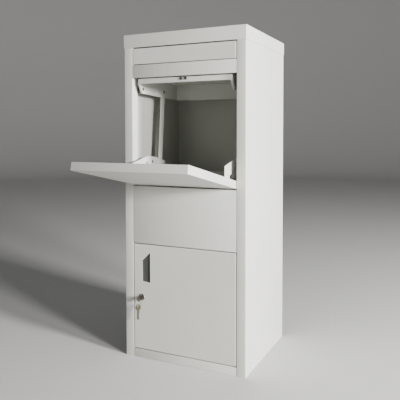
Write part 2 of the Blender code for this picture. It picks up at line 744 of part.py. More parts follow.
def hood():
    """An upturned tray over the opening. Its side flanges run down to the pins."""
    pins = HOOD_PIVOT.z
    top = pins + HOOD_TOP
    outline = [
        (behind(HOOD_FRONT), top),
        (behind(HOOD_FRONT), top - HOOD_FRONT_FLANGE),
        (behind(HOOD_NOSE_DEPTH), pins - HOOD_NOSE),
        (behind(HOOD_END), pins - HOOD_TAIL),
        (behind(HOOD_END), top),
    ]
    piece = add("hood", prism(outline, "X", -HOOD_OUTER, HOOD_OUTER), POWDER_COAT)
    low = (-HOOD_INNER, behind(HOOD_FRONT + PANEL_SHEET), pins - HOOD_TAIL - OVERSHOOT)
    high = (HOOD_INNER, behind(HOOD_END - PANEL_SHEET), top - PANEL_SHEET)
    cut(piece, block(low, high))
    hole = PIN_RADIUS + PIN_CLEARANCE
    for sign in (-1, 1):
        for place in (HOOD_PIVOT, LINK_HEAD):
            cut(piece, rod(place, (sign, 0, 0), HOOD_INNER - THROUGH, HOOD_OUTER + THROUGH, hole))
    hang("hood_pivot", HOOD_PIVOT, [piece] + on_sides(hood_button))


def hood_button(side, sign):
    """A rubber button on the front flange, which keeps the turning hood off the cross band."""
    centre = (sign * BUTTON_PITCH / 2, behind(HOOD_FRONT), HOOD_PIVOT.z + HOOD_TOP - BUTTON_DROP)
    shape = rod(centre, (0, -1, 0), GAP, GAP + BUTTON_THICKNESS, BUTTON_RADIUS)
    return add(f"hood_button_{side}", shape, RUBBER)


def link(side, sign):
    """A bar from the shelf's ear up to the hood, with the two shouldered rivets that it turns on."""
    foot, head = (LINK_FOOT.y, LINK_FOOT.z), (LINK_HEAD.y, LINK_HEAD.z)
    bar_shape = prism(slot_outline(foot, head, LINK_RADIUS), "X", LINK_INNER * sign, LINK_OUTER * sign)
    bar = add(f"{side}_link_bar", bar_shape, POWDER_COAT)
    pieces = [bar]
    hole = PIN_RADIUS + PIN_CLEARANCE
    for name, place, inner in (("lower", LINK_FOOT, CHEEK_INNER), ("upper", LINK_HEAD, HOOD_INNER)):
        cut(bar, rod(place, (sign, 0, 0), LINK_INNER - THROUGH, LINK_OUTER + THROUGH, hole))
        rivet_name = f"{side}_link_{name}_rivet"
        pieces.append(headed_pin(rivet_name, place, sign, LINK_OUTER + GAP, inner - GAP, True))
    hang(f"{side}_link_pivot", LINK_FOOT, pieces)


# Collection door


def pull_outline(margin):
    """The recessed pull's trapezium as (x, z) pairs, grown by margin on every side."""
    left = -DOOR_HALF + PULL_INSET - margin
    right = -DOOR_HALF + PULL_INSET + PULL_WIDTH + margin
    high = DOOR_HIGH - PULL_TOP_DROP + margin
    low = DOOR_HIGH - PULL_TOP_DROP - PULL_TALL - margin
    short_low = low + PULL_FOOT
    return [(left, short_low), (right, low), (right, high), (left, short_low + PULL_SHORT + 2 * margin)]


def collection_door():
    low = (-DOOR_HALF, FRONT, DOOR_LOW)
    high = (DOOR_HALF, behind(DOOR_DEPTH), DOOR_HIGH)
    door = thicken(add("collection_door", tray(low, high, (0, 1, 0)), POWDER_COAT), PANEL_SHEET)
    through = PANEL_SHEET + THROUGH
    cut(door, prism(pull_outline(0), "Y", FRONT - THROUGH, behind(through)))
    cut(door, rod(LOCK_PIVOT, (0, 1, 0), -THROUGH, through, LOCK_RADIUS + GAP))
    hole = DOOR_PIN_RADIUS + PIN_CLEARANCE
    for height in (DOOR_LOW, DOOR_HIGH):
        place = (DOOR_PIVOT.x, DOOR_PIVOT.y, height)
        cut(door, rod(place, (0, 0, 1), -through, through, hole))
    return door


def door_pull():
    """The pocket behind the door's trapezium: a shallow box with a rim against the door's skin."""
    start = PANEL_SHEET + GAP
    end = start + PULL_DEPTH
    outside = prism(pull_outline(PULL_RIM), "Y", behind(start), behind(end))
    pocket = add("door_pull", outside, PULL_PLASTIC)
    cut(pocket, prism(pull_outline(0), "Y", FRONT, behind(end - PULL_WALL)))
    return pocket


def door_stiffener():
    """An upright top-hat section behind the door's skin."""
    half = STIFFENER_WIDTH / 2
    crown = half / 2
    base, top = behind(PANEL_SHEET + GAP), behind(PANEL_SHEET + GAP + STIFFENER_DEPTH)
    path = [(half, base), (crown, base), (crown, top), (-crown, top), (-crown, base), (-half, base)]
    low, high = DOOR_LOW + STIFFENER_END_GAP, DOOR_HIGH - STIFFENER_END_GAP
    return thicken(add("door_stiffener", bent(path[::-1], "Z", low, high), POWDER_COAT), PANEL_SHEET)


def lock_body():
    bore = PLUG_RADIUS + GAP
    tail = -(CAM_FACE - GAP)
    profile = [
        (LOCK_BEZEL_RADIUS, LOCK_BEZEL),
        (LOCK_BEZEL_RADIUS, GAP),
        (LOCK_RADIUS, GAP),
        (LOCK_RADIUS, tail),
        (bore, tail),
        (bore, LOCK_BEZEL),
    ]
    return turned("lock_body", profile, CHROME, LOCK_PIVOT, (0, -1, 0))


def lock_nut():
    start = PANEL_SHEET + GAP
    end = start + NUT_THICKNESS
    nut = add("lock_nut", rod(LOCK_PIVOT, (0, 1, 0), start, end, NUT_RADIUS, 6), STEEL)
    cut(nut, rod(LOCK_PIVOT, (0, 1, 0), start - THROUGH, end + THROUGH, LOCK_RADIUS + GAP))
    return nut


def door_body():
    pieces = [collection_door(), door_pull(), door_stiffener(), lock_body(), lock_nut()]
    hang("collection_door_pivot", DOOR_PIVOT, pieces)


# Lock and keys


def lock_plug():
    """The turning core: a keyway in front and a threaded hole for the cam's screw behind."""
    plug = add(
        "lock_plug",
        rod(LOCK_PIVOT, (0, 1, 0), -LOCK_BEZEL, CAM_FACE - GAP, PLUG_RADIUS),
        CHROME,
    )
    half_width = KEY_BLADE_WIDTH / 2 + KEY_CLEARANCE
    half_thick = KEY_THICKNESS / 2 + KEY_CLEARANCE
    reach = KEY_BLADE_LENGTH - LOCK_BEZEL + KEY_CLEARANCE
    low = LOCK_PIVOT + Vector((-half_thick, -LOCK_BEZEL - THROUGH, -half_width))
    high = LOCK_PIVOT + Vector((half_thick, reach, half_width))
    cut(plug, block(low, high))
    cut(plug, rod(LOCK_PIVOT, (0, 1, 0), CAM_SCREW_START - GAP, CAM_FACE + THROUGH, CAM_SCREW_RADIUS + GAP))
    return plug


def lock_cam():
    """The bar behind the plug. It points up when unlocked, and hooks behind the stile when turned."""
    reach = LOCK_PIVOT.x + RETURN_OUTER + CAM_HOOK
    foot = (LOCK_PIVOT.x, LOCK_PIVOT.z)
    tip = (LOCK_PIVOT.x, LOCK_PIVOT.z + reach - CAM_WIDTH / 2)
    start, end = behind(CAM_FACE), behind(CAM_FACE + CAM_THICKNESS)
    cam = add("lock_cam", prism(slot_outline(foot, tip, CAM_WIDTH / 2), "Y", start, end), STEEL)
    place = (LOCK_PIVOT.x, start, LOCK_PIVOT.z)
    cut(cam, rod(place, (0, 1, 0), -THROUGH, CAM_THICKNESS + THROUGH, CAM_SCREW_RADIUS + GAP))
    return cam


def cam_screw():
    head = CAM_FACE + CAM_THICKNESS + GAP
    profile = [
        (0, head + SCREW_HEAD),
        (SCREW_HEAD_RADIUS, head + SCREW_HEAD),
        (SCREW_HEAD_RADIUS, head),
        (CAM_SCREW_RADIUS, head),
        (CAM_SCREW_RADIUS, CAM_SCREW_START),
        (0, CAM_SCREW_START),
    ]
    return turned("cam_screw", profile, STEEL, LOCK_PIVOT, (0, 1, 0))


def flat_key(name, bow, blade_length, towards):
    """A key in the plane X = bow.x. towards is the direction in which its blade points."""
    towards = Vector(towards)
    across = Vector((0, -towards.z, towards.y))
    half = Vector((KEY_THICKNESS / 2, 0, 0))
    shape = rod(bow, (1, 0, 0), -KEY_THICKNESS / 2, KEY_THICKNESS / 2, KEY_BOW_RADIUS)
    key = add(name, shape, KEY_METAL)
    tip = bow + towards * (KEY_BOW_RADIUS + KEY_NECK + blade_length)
    edge = across * KEY_BLADE_WIDTH / 2
    start = bow + towards * KEY_BOW_RADIUS / 2
    corners = [start - edge - half, tip + edge + half]
    low = [min(pair) for pair in zip(*corners)]
    high = [max(pair) for pair in zip(*corners)]
    join(key, block(low, high))
    hole = bow - towards * KEY_HOLE_OFFSET
    cut(key, rod(hole, (1, 0, 0), -KEY_THICKNESS, KEY_THICKNESS, KEY_HOLE_RADIUS))
    return key


def key():
    bow = LOCK_PIVOT + Vector((0, -KEY_BOW_AHEAD, 0))
    return flat_key("key", bow, KEY_BLADE_LENGTH, (0, 1, 0))


def key_ring():
    """A wire ring through the key's bow, square to the bow."""
    bpy.ops.mesh.primitive_torus_add(
        major_segments=2 * ROUND,
        minor_segments=8,
        major_radius=RING_RADIUS,
        minor_radius=RING_WIRE,
        location=RING_PIVOT - Vector((0, 0, RING_RADIUS)),
        rotation=(math.pi / 2, 0, 0),
    )
    ring = bpy.context.object
    ring.name = "key_ring"
    ring.data.materials.append(material(STEEL))
    for holder in list(ring.users_collection):
        holder.objects.unlink(ring)
    PARTS.objects.link(ring)
    return ring


def spare_key():
    """A second key that hangs from the ring, turned a little about the upright."""
    hole = RING_PIVOT - Vector((0, 0, 2 * RING_RADIUS + RING_HANG))
    bow = hole - Vector((0, 0, KEY_HOLE_OFFSET))
    made = flat_key("spare_key", bow, SPARE_BLADE_LENGTH, (0, 0, -1))
    made.rotation_euler = (0, 0, SPARE_KEY_TURN)
    made.location = bow - Matrix.Rotation(SPARE_KEY_TURN, 3, "Z") @ bow
    return made


def lock_and_keys():
    hang("lock_pivot", LOCK_PIVOT, [lock_plug(), lock_cam(), cam_screw()])
    hang("key_travel", LOCK_PIVOT, [key()])
    hang("key_ring_pivot", RING_PIVOT, [key_ring(), spare_key()])


def cabinet():
    on_sides(side_panel)
    base_pan()
    back_panel()
    top_cap()
    front_panels()
    on_sides(hood_pivot_set)
    on_sides(hatch_pin)
    on_sides(hatch_stop)
    door_stop()
    door_pins()
    flap_rod()


clear_scene()
PARTS = collection("parcel_drop_box")
CUTTERS = collection("cutters")
CUTTERS.hide_render = True
cabinet()
letter_flap()
hatch()
hood()
on_sides(link)
door_body()
lock_and_keys()
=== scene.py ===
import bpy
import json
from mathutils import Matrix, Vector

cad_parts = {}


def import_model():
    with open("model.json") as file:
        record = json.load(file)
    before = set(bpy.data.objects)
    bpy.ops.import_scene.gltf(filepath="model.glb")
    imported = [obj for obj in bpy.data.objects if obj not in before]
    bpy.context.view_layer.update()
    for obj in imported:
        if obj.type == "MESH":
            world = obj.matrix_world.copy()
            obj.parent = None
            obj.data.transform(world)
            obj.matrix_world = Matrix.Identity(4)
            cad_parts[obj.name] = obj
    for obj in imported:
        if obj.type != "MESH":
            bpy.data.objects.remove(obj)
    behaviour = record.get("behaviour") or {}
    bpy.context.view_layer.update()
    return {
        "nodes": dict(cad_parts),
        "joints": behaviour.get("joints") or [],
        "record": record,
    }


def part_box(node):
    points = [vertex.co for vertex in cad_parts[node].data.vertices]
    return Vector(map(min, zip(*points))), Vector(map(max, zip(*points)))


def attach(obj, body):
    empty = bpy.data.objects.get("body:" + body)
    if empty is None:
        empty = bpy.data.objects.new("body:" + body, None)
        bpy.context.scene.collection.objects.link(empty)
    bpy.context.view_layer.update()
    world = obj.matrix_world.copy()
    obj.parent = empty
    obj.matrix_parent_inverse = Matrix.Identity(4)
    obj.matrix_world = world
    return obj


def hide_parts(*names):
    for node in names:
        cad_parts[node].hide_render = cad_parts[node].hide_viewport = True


bl_info = {
    "name": "Parcel Drop Box",
    "version": (1, 0, 0),
    "blender": (4, 5, 0),
    "location": "View3D > Sidebar > Drop Box",
    "description": "Builds the finished panels, mechanism, lock and keys of a steel parcel drop box",
    "category": "Add Mesh",
}

import json
import math

import bmesh
import bpy
import numpy as np
from mathutils import Matrix, Vector

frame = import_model()

SIDES = (("left", -1), ("right", 1))
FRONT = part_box("middle_panel")[0][1]

# Gap left between two pieces that touch.
TOUCH_GAP = 0.0003
# Edges of a mesh that turn by more than this are drawn sharp.
SHARP_ANGLE = math.radians(32)

# Directions that a flat outline is laid along: across it, up it, and out of its face.
FACING_FRONT = ((1, 0, 0), (0, 0, 1), (0, -1, 0))
FACING_BACK = ((-1, 0, 0), (0, 0, 1), (0, 1, 0))
FACING_UP = ((1, 0, 0), (0, 1, 0), (0, 0, 1))
FACING_DOWN = ((-1, 0, 0), (0, 1, 0), (0, 0, -1))
FACING_RIGHT = ((0, 1, 0), (0, 0, 1), (1, 0, 0))
FACING_LEFT = ((0, -1, 0), (0, 0, 1), (-1, 0, 0))


# Places from the frame


def joint(name):
    return next(item for item in frame["joints"] if item["name"] == name)


def low(node):
    return np.array(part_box(node)[0])


def high(node):
    return np.array(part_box(node)[1])


def middle(node):
    return (low(node) + high(node)) / 2


# Surfaces. Each is worked out as whole arrays.


def edge_normals(points):
    """Unit normals of a closed outline's edges, each a quarter turn clockwise from its edge."""
    step = np.roll(points, -1, axis=0) - points
    step /= np.linalg.norm(step, axis=1, keepdims=True)
    return np.stack([step[:, 1], -step[:, 0]], axis=1)


def mitres(points):
    """How far each point of a closed outline moves, per unit, when all of its edges move outwards.
    The sum of a corner's two normals, divided by one plus their dot product, is its mitre."""
    after = edge_normals(points)
    before = np.roll(after, 1, axis=0)
    return (before + after) / (1 + (before * after).sum(1, keepdims=True))


def rounded(corners, radius, steps=6):
    """A closed outline with an arc at each corner. The arc's centre is the corner moved inwards by
    the radius along its mitre, and its points turn from the one edge's normal to the other's.
    A corner that turns the other way takes the same formula with the radius negated."""
    corners = np.asarray(corners, float)
    radius = np.broadcast_to(np.asarray(radius, float), len(corners))
    after = edge_normals(corners)
    before = np.roll(after, 1, axis=0)
    turn = np.arctan2(
        before[:, 0] * after[:, 1] - before[:, 1] * after[:, 0], (before * after).sum(1)
    )
    signed = radius * np.sign(turn)
    centre = corners - mitres(corners) * signed[:, None]
    angle = turn[:, None] * np.linspace(0, 1, steps + 1)[None, :]
    cosine, sine = np.cos(angle), np.sin(angle)
    x = before[:, None, 0] * cosine - before[:, None, 1] * sine
    y = before[:, None, 0] * sine + before[:, None, 1] * cosine
    arcs = centre[:, None, :] + signed[:, None, None] * np.stack([x, y], axis=2)
    return arcs.reshape(-1, 2)


def rectangle(left, bottom, right, top, radius, steps=6):
    return rounded([(left, bottom), (right, bottom), (right, top), (left, top)], radius, steps)


def circle(centre, radius, steps=48):
    angle = np.linspace(0, 2 * np.pi, steps, endpoint=False)
    return np.asarray(centre) + radius * np.stack([np.cos(angle), np.sin(angle)], axis=1)


def bent_section(path, thickness, radius, steps=6):
    """Outline of a bent sheet's cross-section. The path is its outer side with the metal on its left,
    its bends are arcs, and the inner side is the same path moved left by the thickness."""
    path = np.asarray(path, float)
    ends = path[[0, -1]]
    arcs = rounded(path, radius, steps).reshape(len(path), steps + 1, 2)[1:-1].reshape(-1, 2)
    outer = np.concatenate([ends[:1], arcs, ends[1:]])
    step = np.diff(outer, axis=0)
    step /= np.linalg.norm(step, axis=1, keepdims=True)
    left = np.stack([-step[:, 1], step[:, 0]], axis=1)
    before = np.concatenate([left[:1], left])
    after = np.concatenate([left, left[-1:]])
    inner = outer + thickness * (before + after) / (1 + (before * after).sum(1, keepdims=True))
    return np.concatenate([outer, inner[::-1]])


def carried(outline, profile):
    """A profile carried round a closed outline, as rows of points: each profile point holds how far
    the outline is moved outwards and how high it then lies."""
    profile = np.asarray(profile, float)
    flat = outline[None] + profile[:, None, None, 0] * mitres(outline)[None]
    height = np.broadcast_to(profile[:, None, None, 1], (len(profile), len(outline), 1))
    return np.concatenate([flat, height], axis=2)


def skin_faces(rows, columns, cap_first=True, cap_last=True, close_rows=False):
    """Quads between neighbouring rows of a grid whose columns close on themselves, with a face over
    the first and the last row."""
    row = np.arange(rows if close_rows else rows - 1)[:, None]
    column = np.arange(columns)[None, :]
    here, there = row * columns, (row + 1) % rows * columns
    after = (column + 1) % columns
    quads = np.stack([here + column, there + column, there + after, here + after], axis=2)
    faces = quads.reshape(-1, 4).tolist()
    if cap_first:
        faces.append(list(range(columns)))
    if cap_last:
        faces.append(list(range((rows - 1) * columns, rows * columns))[::-1])
    return faces


def slab_faces(rows, columns):
    """Faces of a closed slab: a front and a back grid of the same size, joined round their edges."""
    count = rows * columns
    index = np.arange(count).reshape(rows, columns)
    front = np.stack([index[:-1, :-1], index[1:, :-1], index[1:, 1:], index[:-1, 1:]], axis=2).reshape(-1, 4)
    border = np.concatenate([index[0, :-1], index[:-1, -1], index[-1, :0:-1], index[:0:-1, 0]])
    following = np.roll(border, -1)
    edge = np.stack([border, following, following + count, border + count], axis=1)
    return front.tolist() + (front[:, ::-1] + count).tolist() + edge.tolist()


def laid(points, facing, origin):
    """Points given across, up and out of a face, moved to where that face is."""
    return np.asarray(points) @ np.asarray(facing, float) + np.asarray(origin, float)


def face_outwards(mesh):
    """Turns the faces of each closed shell outwards."""
    shells = bmesh.new()
    shells.from_mesh(mesh)
    bmesh.ops.recalc_face_normals(shells, faces=shells.faces)
    shells.to_mesh(mesh)
    shells.free()
    mesh.update()


def spun(part, pivot, turn):
    """A part turned about the X axis through a point."""
    points, faces = part
    spin = np.array(Matrix.Rotation(turn, 3, "X"))
    return (np.asarray(points).reshape(-1, 3) - pivot) @ spin.T + pivot, faces


def make(name, parts, material):
    """One mesh object from a list of closed (points, faces)."""
    points, faces, offset = [], [], 0
    for part_points, part_faces in parts:
        part_points = np.asarray(part_points, float).reshape(-1, 3)
        points.append(part_points)
        faces += [[index + offset for index in face] for face in part_faces]
        offset += len(part_points)
    points = np.concatenate(points)
    mesh = bpy.data.meshes.new(name)
    mesh.from_pydata(points.tolist(), [], faces)
    mesh.validate()
    face_outwards(mesh)
    mesh.shade_smooth()
    mesh.set_sharp_from_angle(angle=SHARP_ANGLE)
    mesh.materials.append(material)
    piece = bpy.data.objects.new(name, mesh)
    bpy.context.scene.collection.objects.link(piece)
    return piece


def quarter(start, end, steps=5):
    """A quarter arc of (out, height) pairs from start to end, leaving start along the first axis
    that the flat face lies in."""
    angle = np.linspace(0, np.pi / 2, steps + 1)
    out = start[0] + (end[0] - start[0]) * np.sin(angle)
    height = start[1] + (end[1] - start[1]) * (1 - np.cos(angle))
    return list(zip(out, height))


# Width of the flat ring between a pan's bend and the face that fills it.
SKIN_MARGIN = 0.0004


def pan(outline, thickness, bend, depth, facing, origin, edge=0.0003):
    """A sheet pan: a flat skin whose edge is bent back all round. Its profile runs from the skin over
    the bend, down the flange, round its edge, up inside and under the skin. depth is one number or
    one for each outline point."""
    support = bend + SKIN_MARGIN
    depth = np.broadcast_to(np.asarray(depth, float), len(outline))
    inner = bend - thickness
    upper = [(-support, 0.0)] + quarter((-bend, 0.0), (0.0, -bend))
    lower = [(0.0, -1.0), (-edge, -1.0), (-thickness + edge, -1.0), (-thickness, -1.0)]
    rim = np.array([edge, 0.0, 0.0, edge])
    back = quarter((-bend, -thickness), (-thickness, -thickness - inner))[::-1] + [(-support, -thickness)]
    top = carried(outline, upper)
    rim_rows = carried(outline, lower)
    rim_rows[:, :, 2] = -depth[None, :] + rim[:, None]
    under = carried(outline, back)
    rows = np.concatenate([top, rim_rows, under])
    return laid(rows, facing, origin), skin_faces(len(rows), len(outline))


def plate(outline, thickness, facing, origin, edge=0.0003):
    """A flat plate with softened edges. The origin lies on its outer face."""
    profile = [(-3 * edge, 0.0)] + quarter((-edge, 0.0), (0.0, -edge), 3)
    profile += [(out, -thickness - height) for out, height in profile[::-1]]
    rows = carried(outline, profile)
    return laid(rows, facing, origin), skin_faces(len(rows), len(outline))


def turned(profile, facing, origin, steps=48):
    """A body turned about the facing's outward direction: (radius, height) pairs, down its outside.
    A first or last radius of zero closes it with a small fan of the profile's next row."""
    profile = np.asarray(profile, float)
    open_ends = profile[0, 0] > 0
    angle = np.linspace(0, 2 * np.pi, steps, endpoint=False)
    ring = np.stack([np.cos(angle), np.sin(angle)], axis=1)
    inside = profile if open_ends else profile[1:-1]
    flat = inside[:, None, None, 0] * ring[None]
    height = np.broadcast_to(inside[:, None, None, 1], (len(inside), steps, 1))
    rows = np.concatenate([flat, height], axis=2)
    faces = skin_faces(len(rows), steps, not open_ends, not open_ends, close_rows=open_ends)
    return laid(rows, facing, origin), faces


def swept(path, outward, radius, sides=10):
    """A round wire along a path. Each ring of it is centre + radius * (cos(a) * outward + sin(a) *
    sideways), where sideways is square to the path and to the outward direction given for it."""
    tangent = np.gradient(path, axis=0)
    tangent /= np.linalg.norm(tangent, axis=1, keepdims=True)
    outward = outward - (outward * tangent).sum(1, keepdims=True) * tangent
    outward /= np.linalg.norm(outward, axis=1, keepdims=True)
    sideways = np.cross(tangent, outward)
    angle = np.linspace(0, 2 * np.pi, sides, endpoint=False)
    ring = np.cos(angle)[None, :, None] * outward[:, None] + np.sin(angle)[None, :, None] * sideways[:, None]
    return path[:, None] + radius * ring, skin_faces(len(path), sides)


def coil(centre, axis, radius, wire, turns, pitch, start=0.0, steps=36):
    """A wound wire: centre + radius * (cos(t), sin(t)) square to the axis, + pitch * t / 2 pi along it,
    with t centred so that the coil lies evenly about its centre."""
    frame_axes = np.array(Vector(axis).to_track_quat("Z", "Y").to_matrix())
    t = np.linspace(0, 2 * np.pi * turns, int(steps * turns) + 1)
    flat = np.stack([np.cos(t + start), np.sin(t + start), np.zeros_like(t)], axis=1)
    rise = np.zeros_like(flat)
    rise[:, 2] = pitch * (t / (2 * np.pi) - turns / 2)
    path = (radius * flat + rise) @ frame_axes.T + np.asarray(centre)
    return swept(path, flat @ frame_axes.T, wire)


def stadium(first, last, radius, steps=16):
    """Outline of a bar with round ends: a half circle about each end, joined by straight sides."""
    first, last = np.asarray(first, float), np.asarray(last, float)
    heading = math.atan2(last[1] - first[1], last[0] - first[0])
    angle = heading + np.linspace(-np.pi / 2, np.pi / 2, steps + 1)
    arc = radius * np.stack([np.cos(angle), np.sin(angle)], axis=1)
    return np.concatenate([last + arc, first - arc])


# Softening of the edges of a cutter.
CUTTER_EDGE = 0.0001


def opened(piece, cutters):
    """The piece with each cutter's solid taken out of it."""
    before = len(piece.data.polygons)
    for cutter in cutters:
        modifier = piece.modifiers.new("Opening", "BOOLEAN")
        modifier.operation = "DIFFERENCE"
        modifier.solver = "EXACT"
        modifier.object = cutter
    bpy.context.view_layer.update()
    graph = bpy.context.evaluated_depsgraph_get()
    mesh = bpy.data.meshes.new_from_object(piece.evaluated_get(graph))
    if len(mesh.polygons) == before:
        raise RuntimeError(f"{piece.name} was not opened by its cutters")
    piece.modifiers.clear()
    piece.data = mesh
    mesh.set_sharp_from_angle(angle=SHARP_ANGLE)
    for cutter in cutters:
        bpy.data.objects.remove(cutter, do_unlink=True)
    return piece


# Finishes


def shader_material(name):
    made = bpy.data.materials.new(name)
    made.use_nodes = True
    tree = made.node_tree
    return made, tree, tree.nodes["Principled BSDF"]


def add_node(tree, kind, settings=None, **values):
    """A node with its properties from settings and its inputs from values, whose names use _ for a space."""
    made = tree.nodes.new(kind)
    for key, value in (settings or {}).items():
        setattr(made, key, value)
    for key, value in values.items():
        made.inputs[key.replace("_", " ")].default_value = value
    return made


def coat_material(name, color, roughness, grain=700.0, depth=0.00006):
    """Powder coat: a fine orange-peel bump, a slight cloudiness of colour and gloss over the sheet,
    and pale specks where the powder is coarser."""
    made, tree, shader = shader_material(name)
    link = tree.links.new
    place = tree.nodes.new("ShaderNodeTexCoord").outputs["Object"]
    cloud = add_node(tree, "ShaderNodeTexNoise", Scale=5.0, Detail=4.0, Roughness=0.6)
    peel = add_node(tree, "ShaderNodeTexNoise", Scale=grain, Detail=2.0, Roughness=0.5)
    fine = add_node(tree, "ShaderNodeTexNoise", Scale=grain * 3, Detail=1.0)
    for texture in (cloud, peel, fine):
        link(place, texture.inputs["Vector"])
    ramp = add_node(tree, "ShaderNodeValToRGB")
    ramp.color_ramp.elements[0].position = 0.30
    ramp.color_ramp.elements[0].color = (*(channel * 0.965 for channel in color), 1)
    ramp.color_ramp.elements[1].position = 0.70
    ramp.color_ramp.elements[1].color = (*(min(channel * 1.025, 1) for channel in color), 1)
    link(cloud.outputs["Fac"], ramp.inputs["Fac"])
    speck = add_node(tree, "ShaderNodeMix", {"data_type": "RGBA", "blend_type": "MULTIPLY"})
    speck_ramp = add_node(tree, "ShaderNodeValToRGB")
    speck_ramp.color_ramp.elements[0].position = 0.35
    speck_ramp.color_ramp.elements[0].color = (0.94, 0.94, 0.94, 1)
    speck_ramp.color_ramp.elements[1].position = 0.55
    speck_ramp.color_ramp.elements[1].color = (1, 1, 1, 1)
    link(fine.outputs["Fac"], speck_ramp.inputs["Fac"])
    speck.inputs["Factor"].default_value = 0.6
    link(ramp.outputs["Color"], speck.inputs[6])
    link(speck_ramp.outputs["Color"], speck.inputs[7])
    link(speck.outputs[2], shader.inputs["Base Color"])
    gloss = add_node(tree, "ShaderNodeMapRange")
    gloss.inputs["To Min"].default_value = roughness - 0.05
    gloss.inputs["To Max"].default_value = roughness + 0.06
    link(cloud.outputs["Fac"], gloss.inputs["Value"])
    link(gloss.outputs["Result"], shader.inputs["Roughness"])
    bump = add_node(tree, "ShaderNodeBump", Strength=0.35, Distance=depth)
    link(peel.outputs["Fac"], bump.inputs["Height"])
    link(bump.outputs["Normal"], shader.inputs["Normal"])
    shader.inputs["Specular IOR Level"].default_value = 0.45
    return made


def metal_material(name, color, roughness, brush=(1.0, 1.0, 1.0), scratch=0.3):
    """Bare or plated metal: streaks along the brushing direction vary its gloss and its bump."""
    made, tree, shader = shader_material(name)
    link = tree.links.new
    place = tree.nodes.new("ShaderNodeTexCoord").outputs["Object"]
    mapping = add_node(tree, "ShaderNodeMapping", Scale=brush)
    link(place, mapping.inputs["Vector"])
    streak = add_node(tree, "ShaderNodeTexNoise", Scale=900.0, Detail=3.0, Roughness=0.6)
    link(mapping.outputs["Vector"], streak.inputs["Vector"])
    gloss = add_node(tree, "ShaderNodeMapRange")
    gloss.inputs["To Min"].default_value = max(roughness - 0.08, 0.03)
    gloss.inputs["To Max"].default_value = roughness + 0.10
    link(streak.outputs["Fac"], gloss.inputs["Value"])
    link(gloss.outputs["Result"], shader.inputs["Roughness"])
    tint = add_node(tree, "ShaderNodeValToRGB")
    tint.color_ramp.elements[0].color = (*(channel * 0.88 for channel in color), 1)
    tint.color_ramp.elements[1].color = (*color, 1)
    link(streak.outputs["Fac"], tint.inputs["Fac"])
    link(tint.outputs["Color"], shader.inputs["Base Color"])
    bump = add_node(tree, "ShaderNodeBump", Strength=scratch, Distance=0.00002)
    link(streak.outputs["Fac"], bump.inputs["Height"])
    link(bump.outputs["Normal"], shader.inputs["Normal"])
    shader.inputs["Metallic"].default_value = 1.0
    return made


def moulded_material(name, color, roughness, grain=1500.0):
    """Moulded plastic or rubber: a spark-eroded grain and a slight unevenness of colour."""
    made, tree, shader = shader_material(name)
    link = tree.links.new
    place = tree.nodes.new("ShaderNodeTexCoord").outputs["Object"]
    texture = add_node(tree, "ShaderNodeTexNoise", Scale=grain, Detail=2.0)
    cloud = add_node(tree, "ShaderNodeTexNoise", Scale=30.0, Detail=3.0)
    link(place, texture.inputs["Vector"])
    link(place, cloud.inputs["Vector"])
    tint = add_node(tree, "ShaderNodeValToRGB")
    tint.color_ramp.elements[0].color = (*(channel * 0.85 for channel in color), 1)
    tint.color_ramp.elements[1].color = (*(min(channel * 1.1, 1) for channel in color), 1)
    link(cloud.outputs["Fac"], tint.inputs["Fac"])
    link(tint.outputs["Color"], shader.inputs["Base Color"])
    bump = add_node(tree, "ShaderNodeBump", Strength=0.5, Distance=0.00005)
    link(texture.outputs["Fac"], bump.inputs["Height"])
    link(bump.outputs["Normal"], shader.inputs["Normal"])
    shader.inputs["Roughness"].default_value = roughness
    return made


FINISHES = {}


def finish(name):
    """The material of a finish, made from the scene's finish settings when it is first asked for."""
    if name not in FINISHES:
        colors = bpy.context.scene.drop_box_finish
        makers = {
            "powder_coat": lambda: coat_material("powder_coat", colors.coat_color, colors.coat_roughness),
            "zinc_steel": lambda: metal_material("zinc_steel", colors.zinc_color, 0.38, (1, 0.2, 1)),
            "chrome": lambda: metal_material("chrome", colors.chrome_color, 0.10, scratch=0.05),
            "key_metal": lambda: metal_material("key_metal", colors.key_color, 0.24, (1, 1, 0.1)),
            "rubber": lambda: moulded_material("rubber", colors.rubber_color, 0.75),
            "black_plastic": lambda: moulded_material("black_plastic", colors.rubber_color, 0.45),
            "pull_grey": lambda: moulded_material("pull_grey", colors.pull_color, 0.55),
        }
        FINISHES[name] = makers[name]()
    return FINISHES[name]


def settle(piece, body, slot, *nodes):
    """Rides a finished piece on its body and hides the nodes it stands for. Its slot is not used."""
    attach(piece, body)
    if nodes:
        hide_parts(*nodes)
    return piece


# Settings


class DropBoxFinish(bpy.types.PropertyGroup):
    """Colours and gloss of the finishes."""

    coat_color: bpy.props.FloatVectorProperty(
        name="Coat",
        description="Powder coat on all sheet metal",
        subtype="COLOR",
        default=(0.62, 0.625, 0.585),
    )
    coat_roughness: bpy.props.FloatProperty(
        name="Coat roughness",
        description="Middle roughness of the powder coat",
        default=0.46,
        min=0.1,
        max=1,
    )
    zinc_color: bpy.props.FloatVectorProperty(
        name="Zinc", description="Plated pins and brackets", subtype="COLOR", default=(0.24, 0.24, 0.245)
    )
    chrome_color: bpy.props.FloatVectorProperty(
        name="Chrome", description="Lock barrel and plug", subtype="COLOR", default=(0.36, 0.36, 0.37)
    )
    key_color: bpy.props.FloatVectorProperty(
        name="Key", description="Nickel-plated keys", subtype="COLOR", default=(0.20, 0.17, 0.135)
    )
    rubber_color: bpy.props.FloatVectorProperty(
        name="Rubber",
        description="Buffers, buttons and bushes",
        subtype="COLOR",
        default=(0.035, 0.035, 0.037),
    )
    pull_color: bpy.props.FloatVectorProperty(
        name="Pull",
        description="Moulded pocket of the recessed pull",
        subtype="COLOR",
        default=(0.07, 0.072, 0.068),
    )


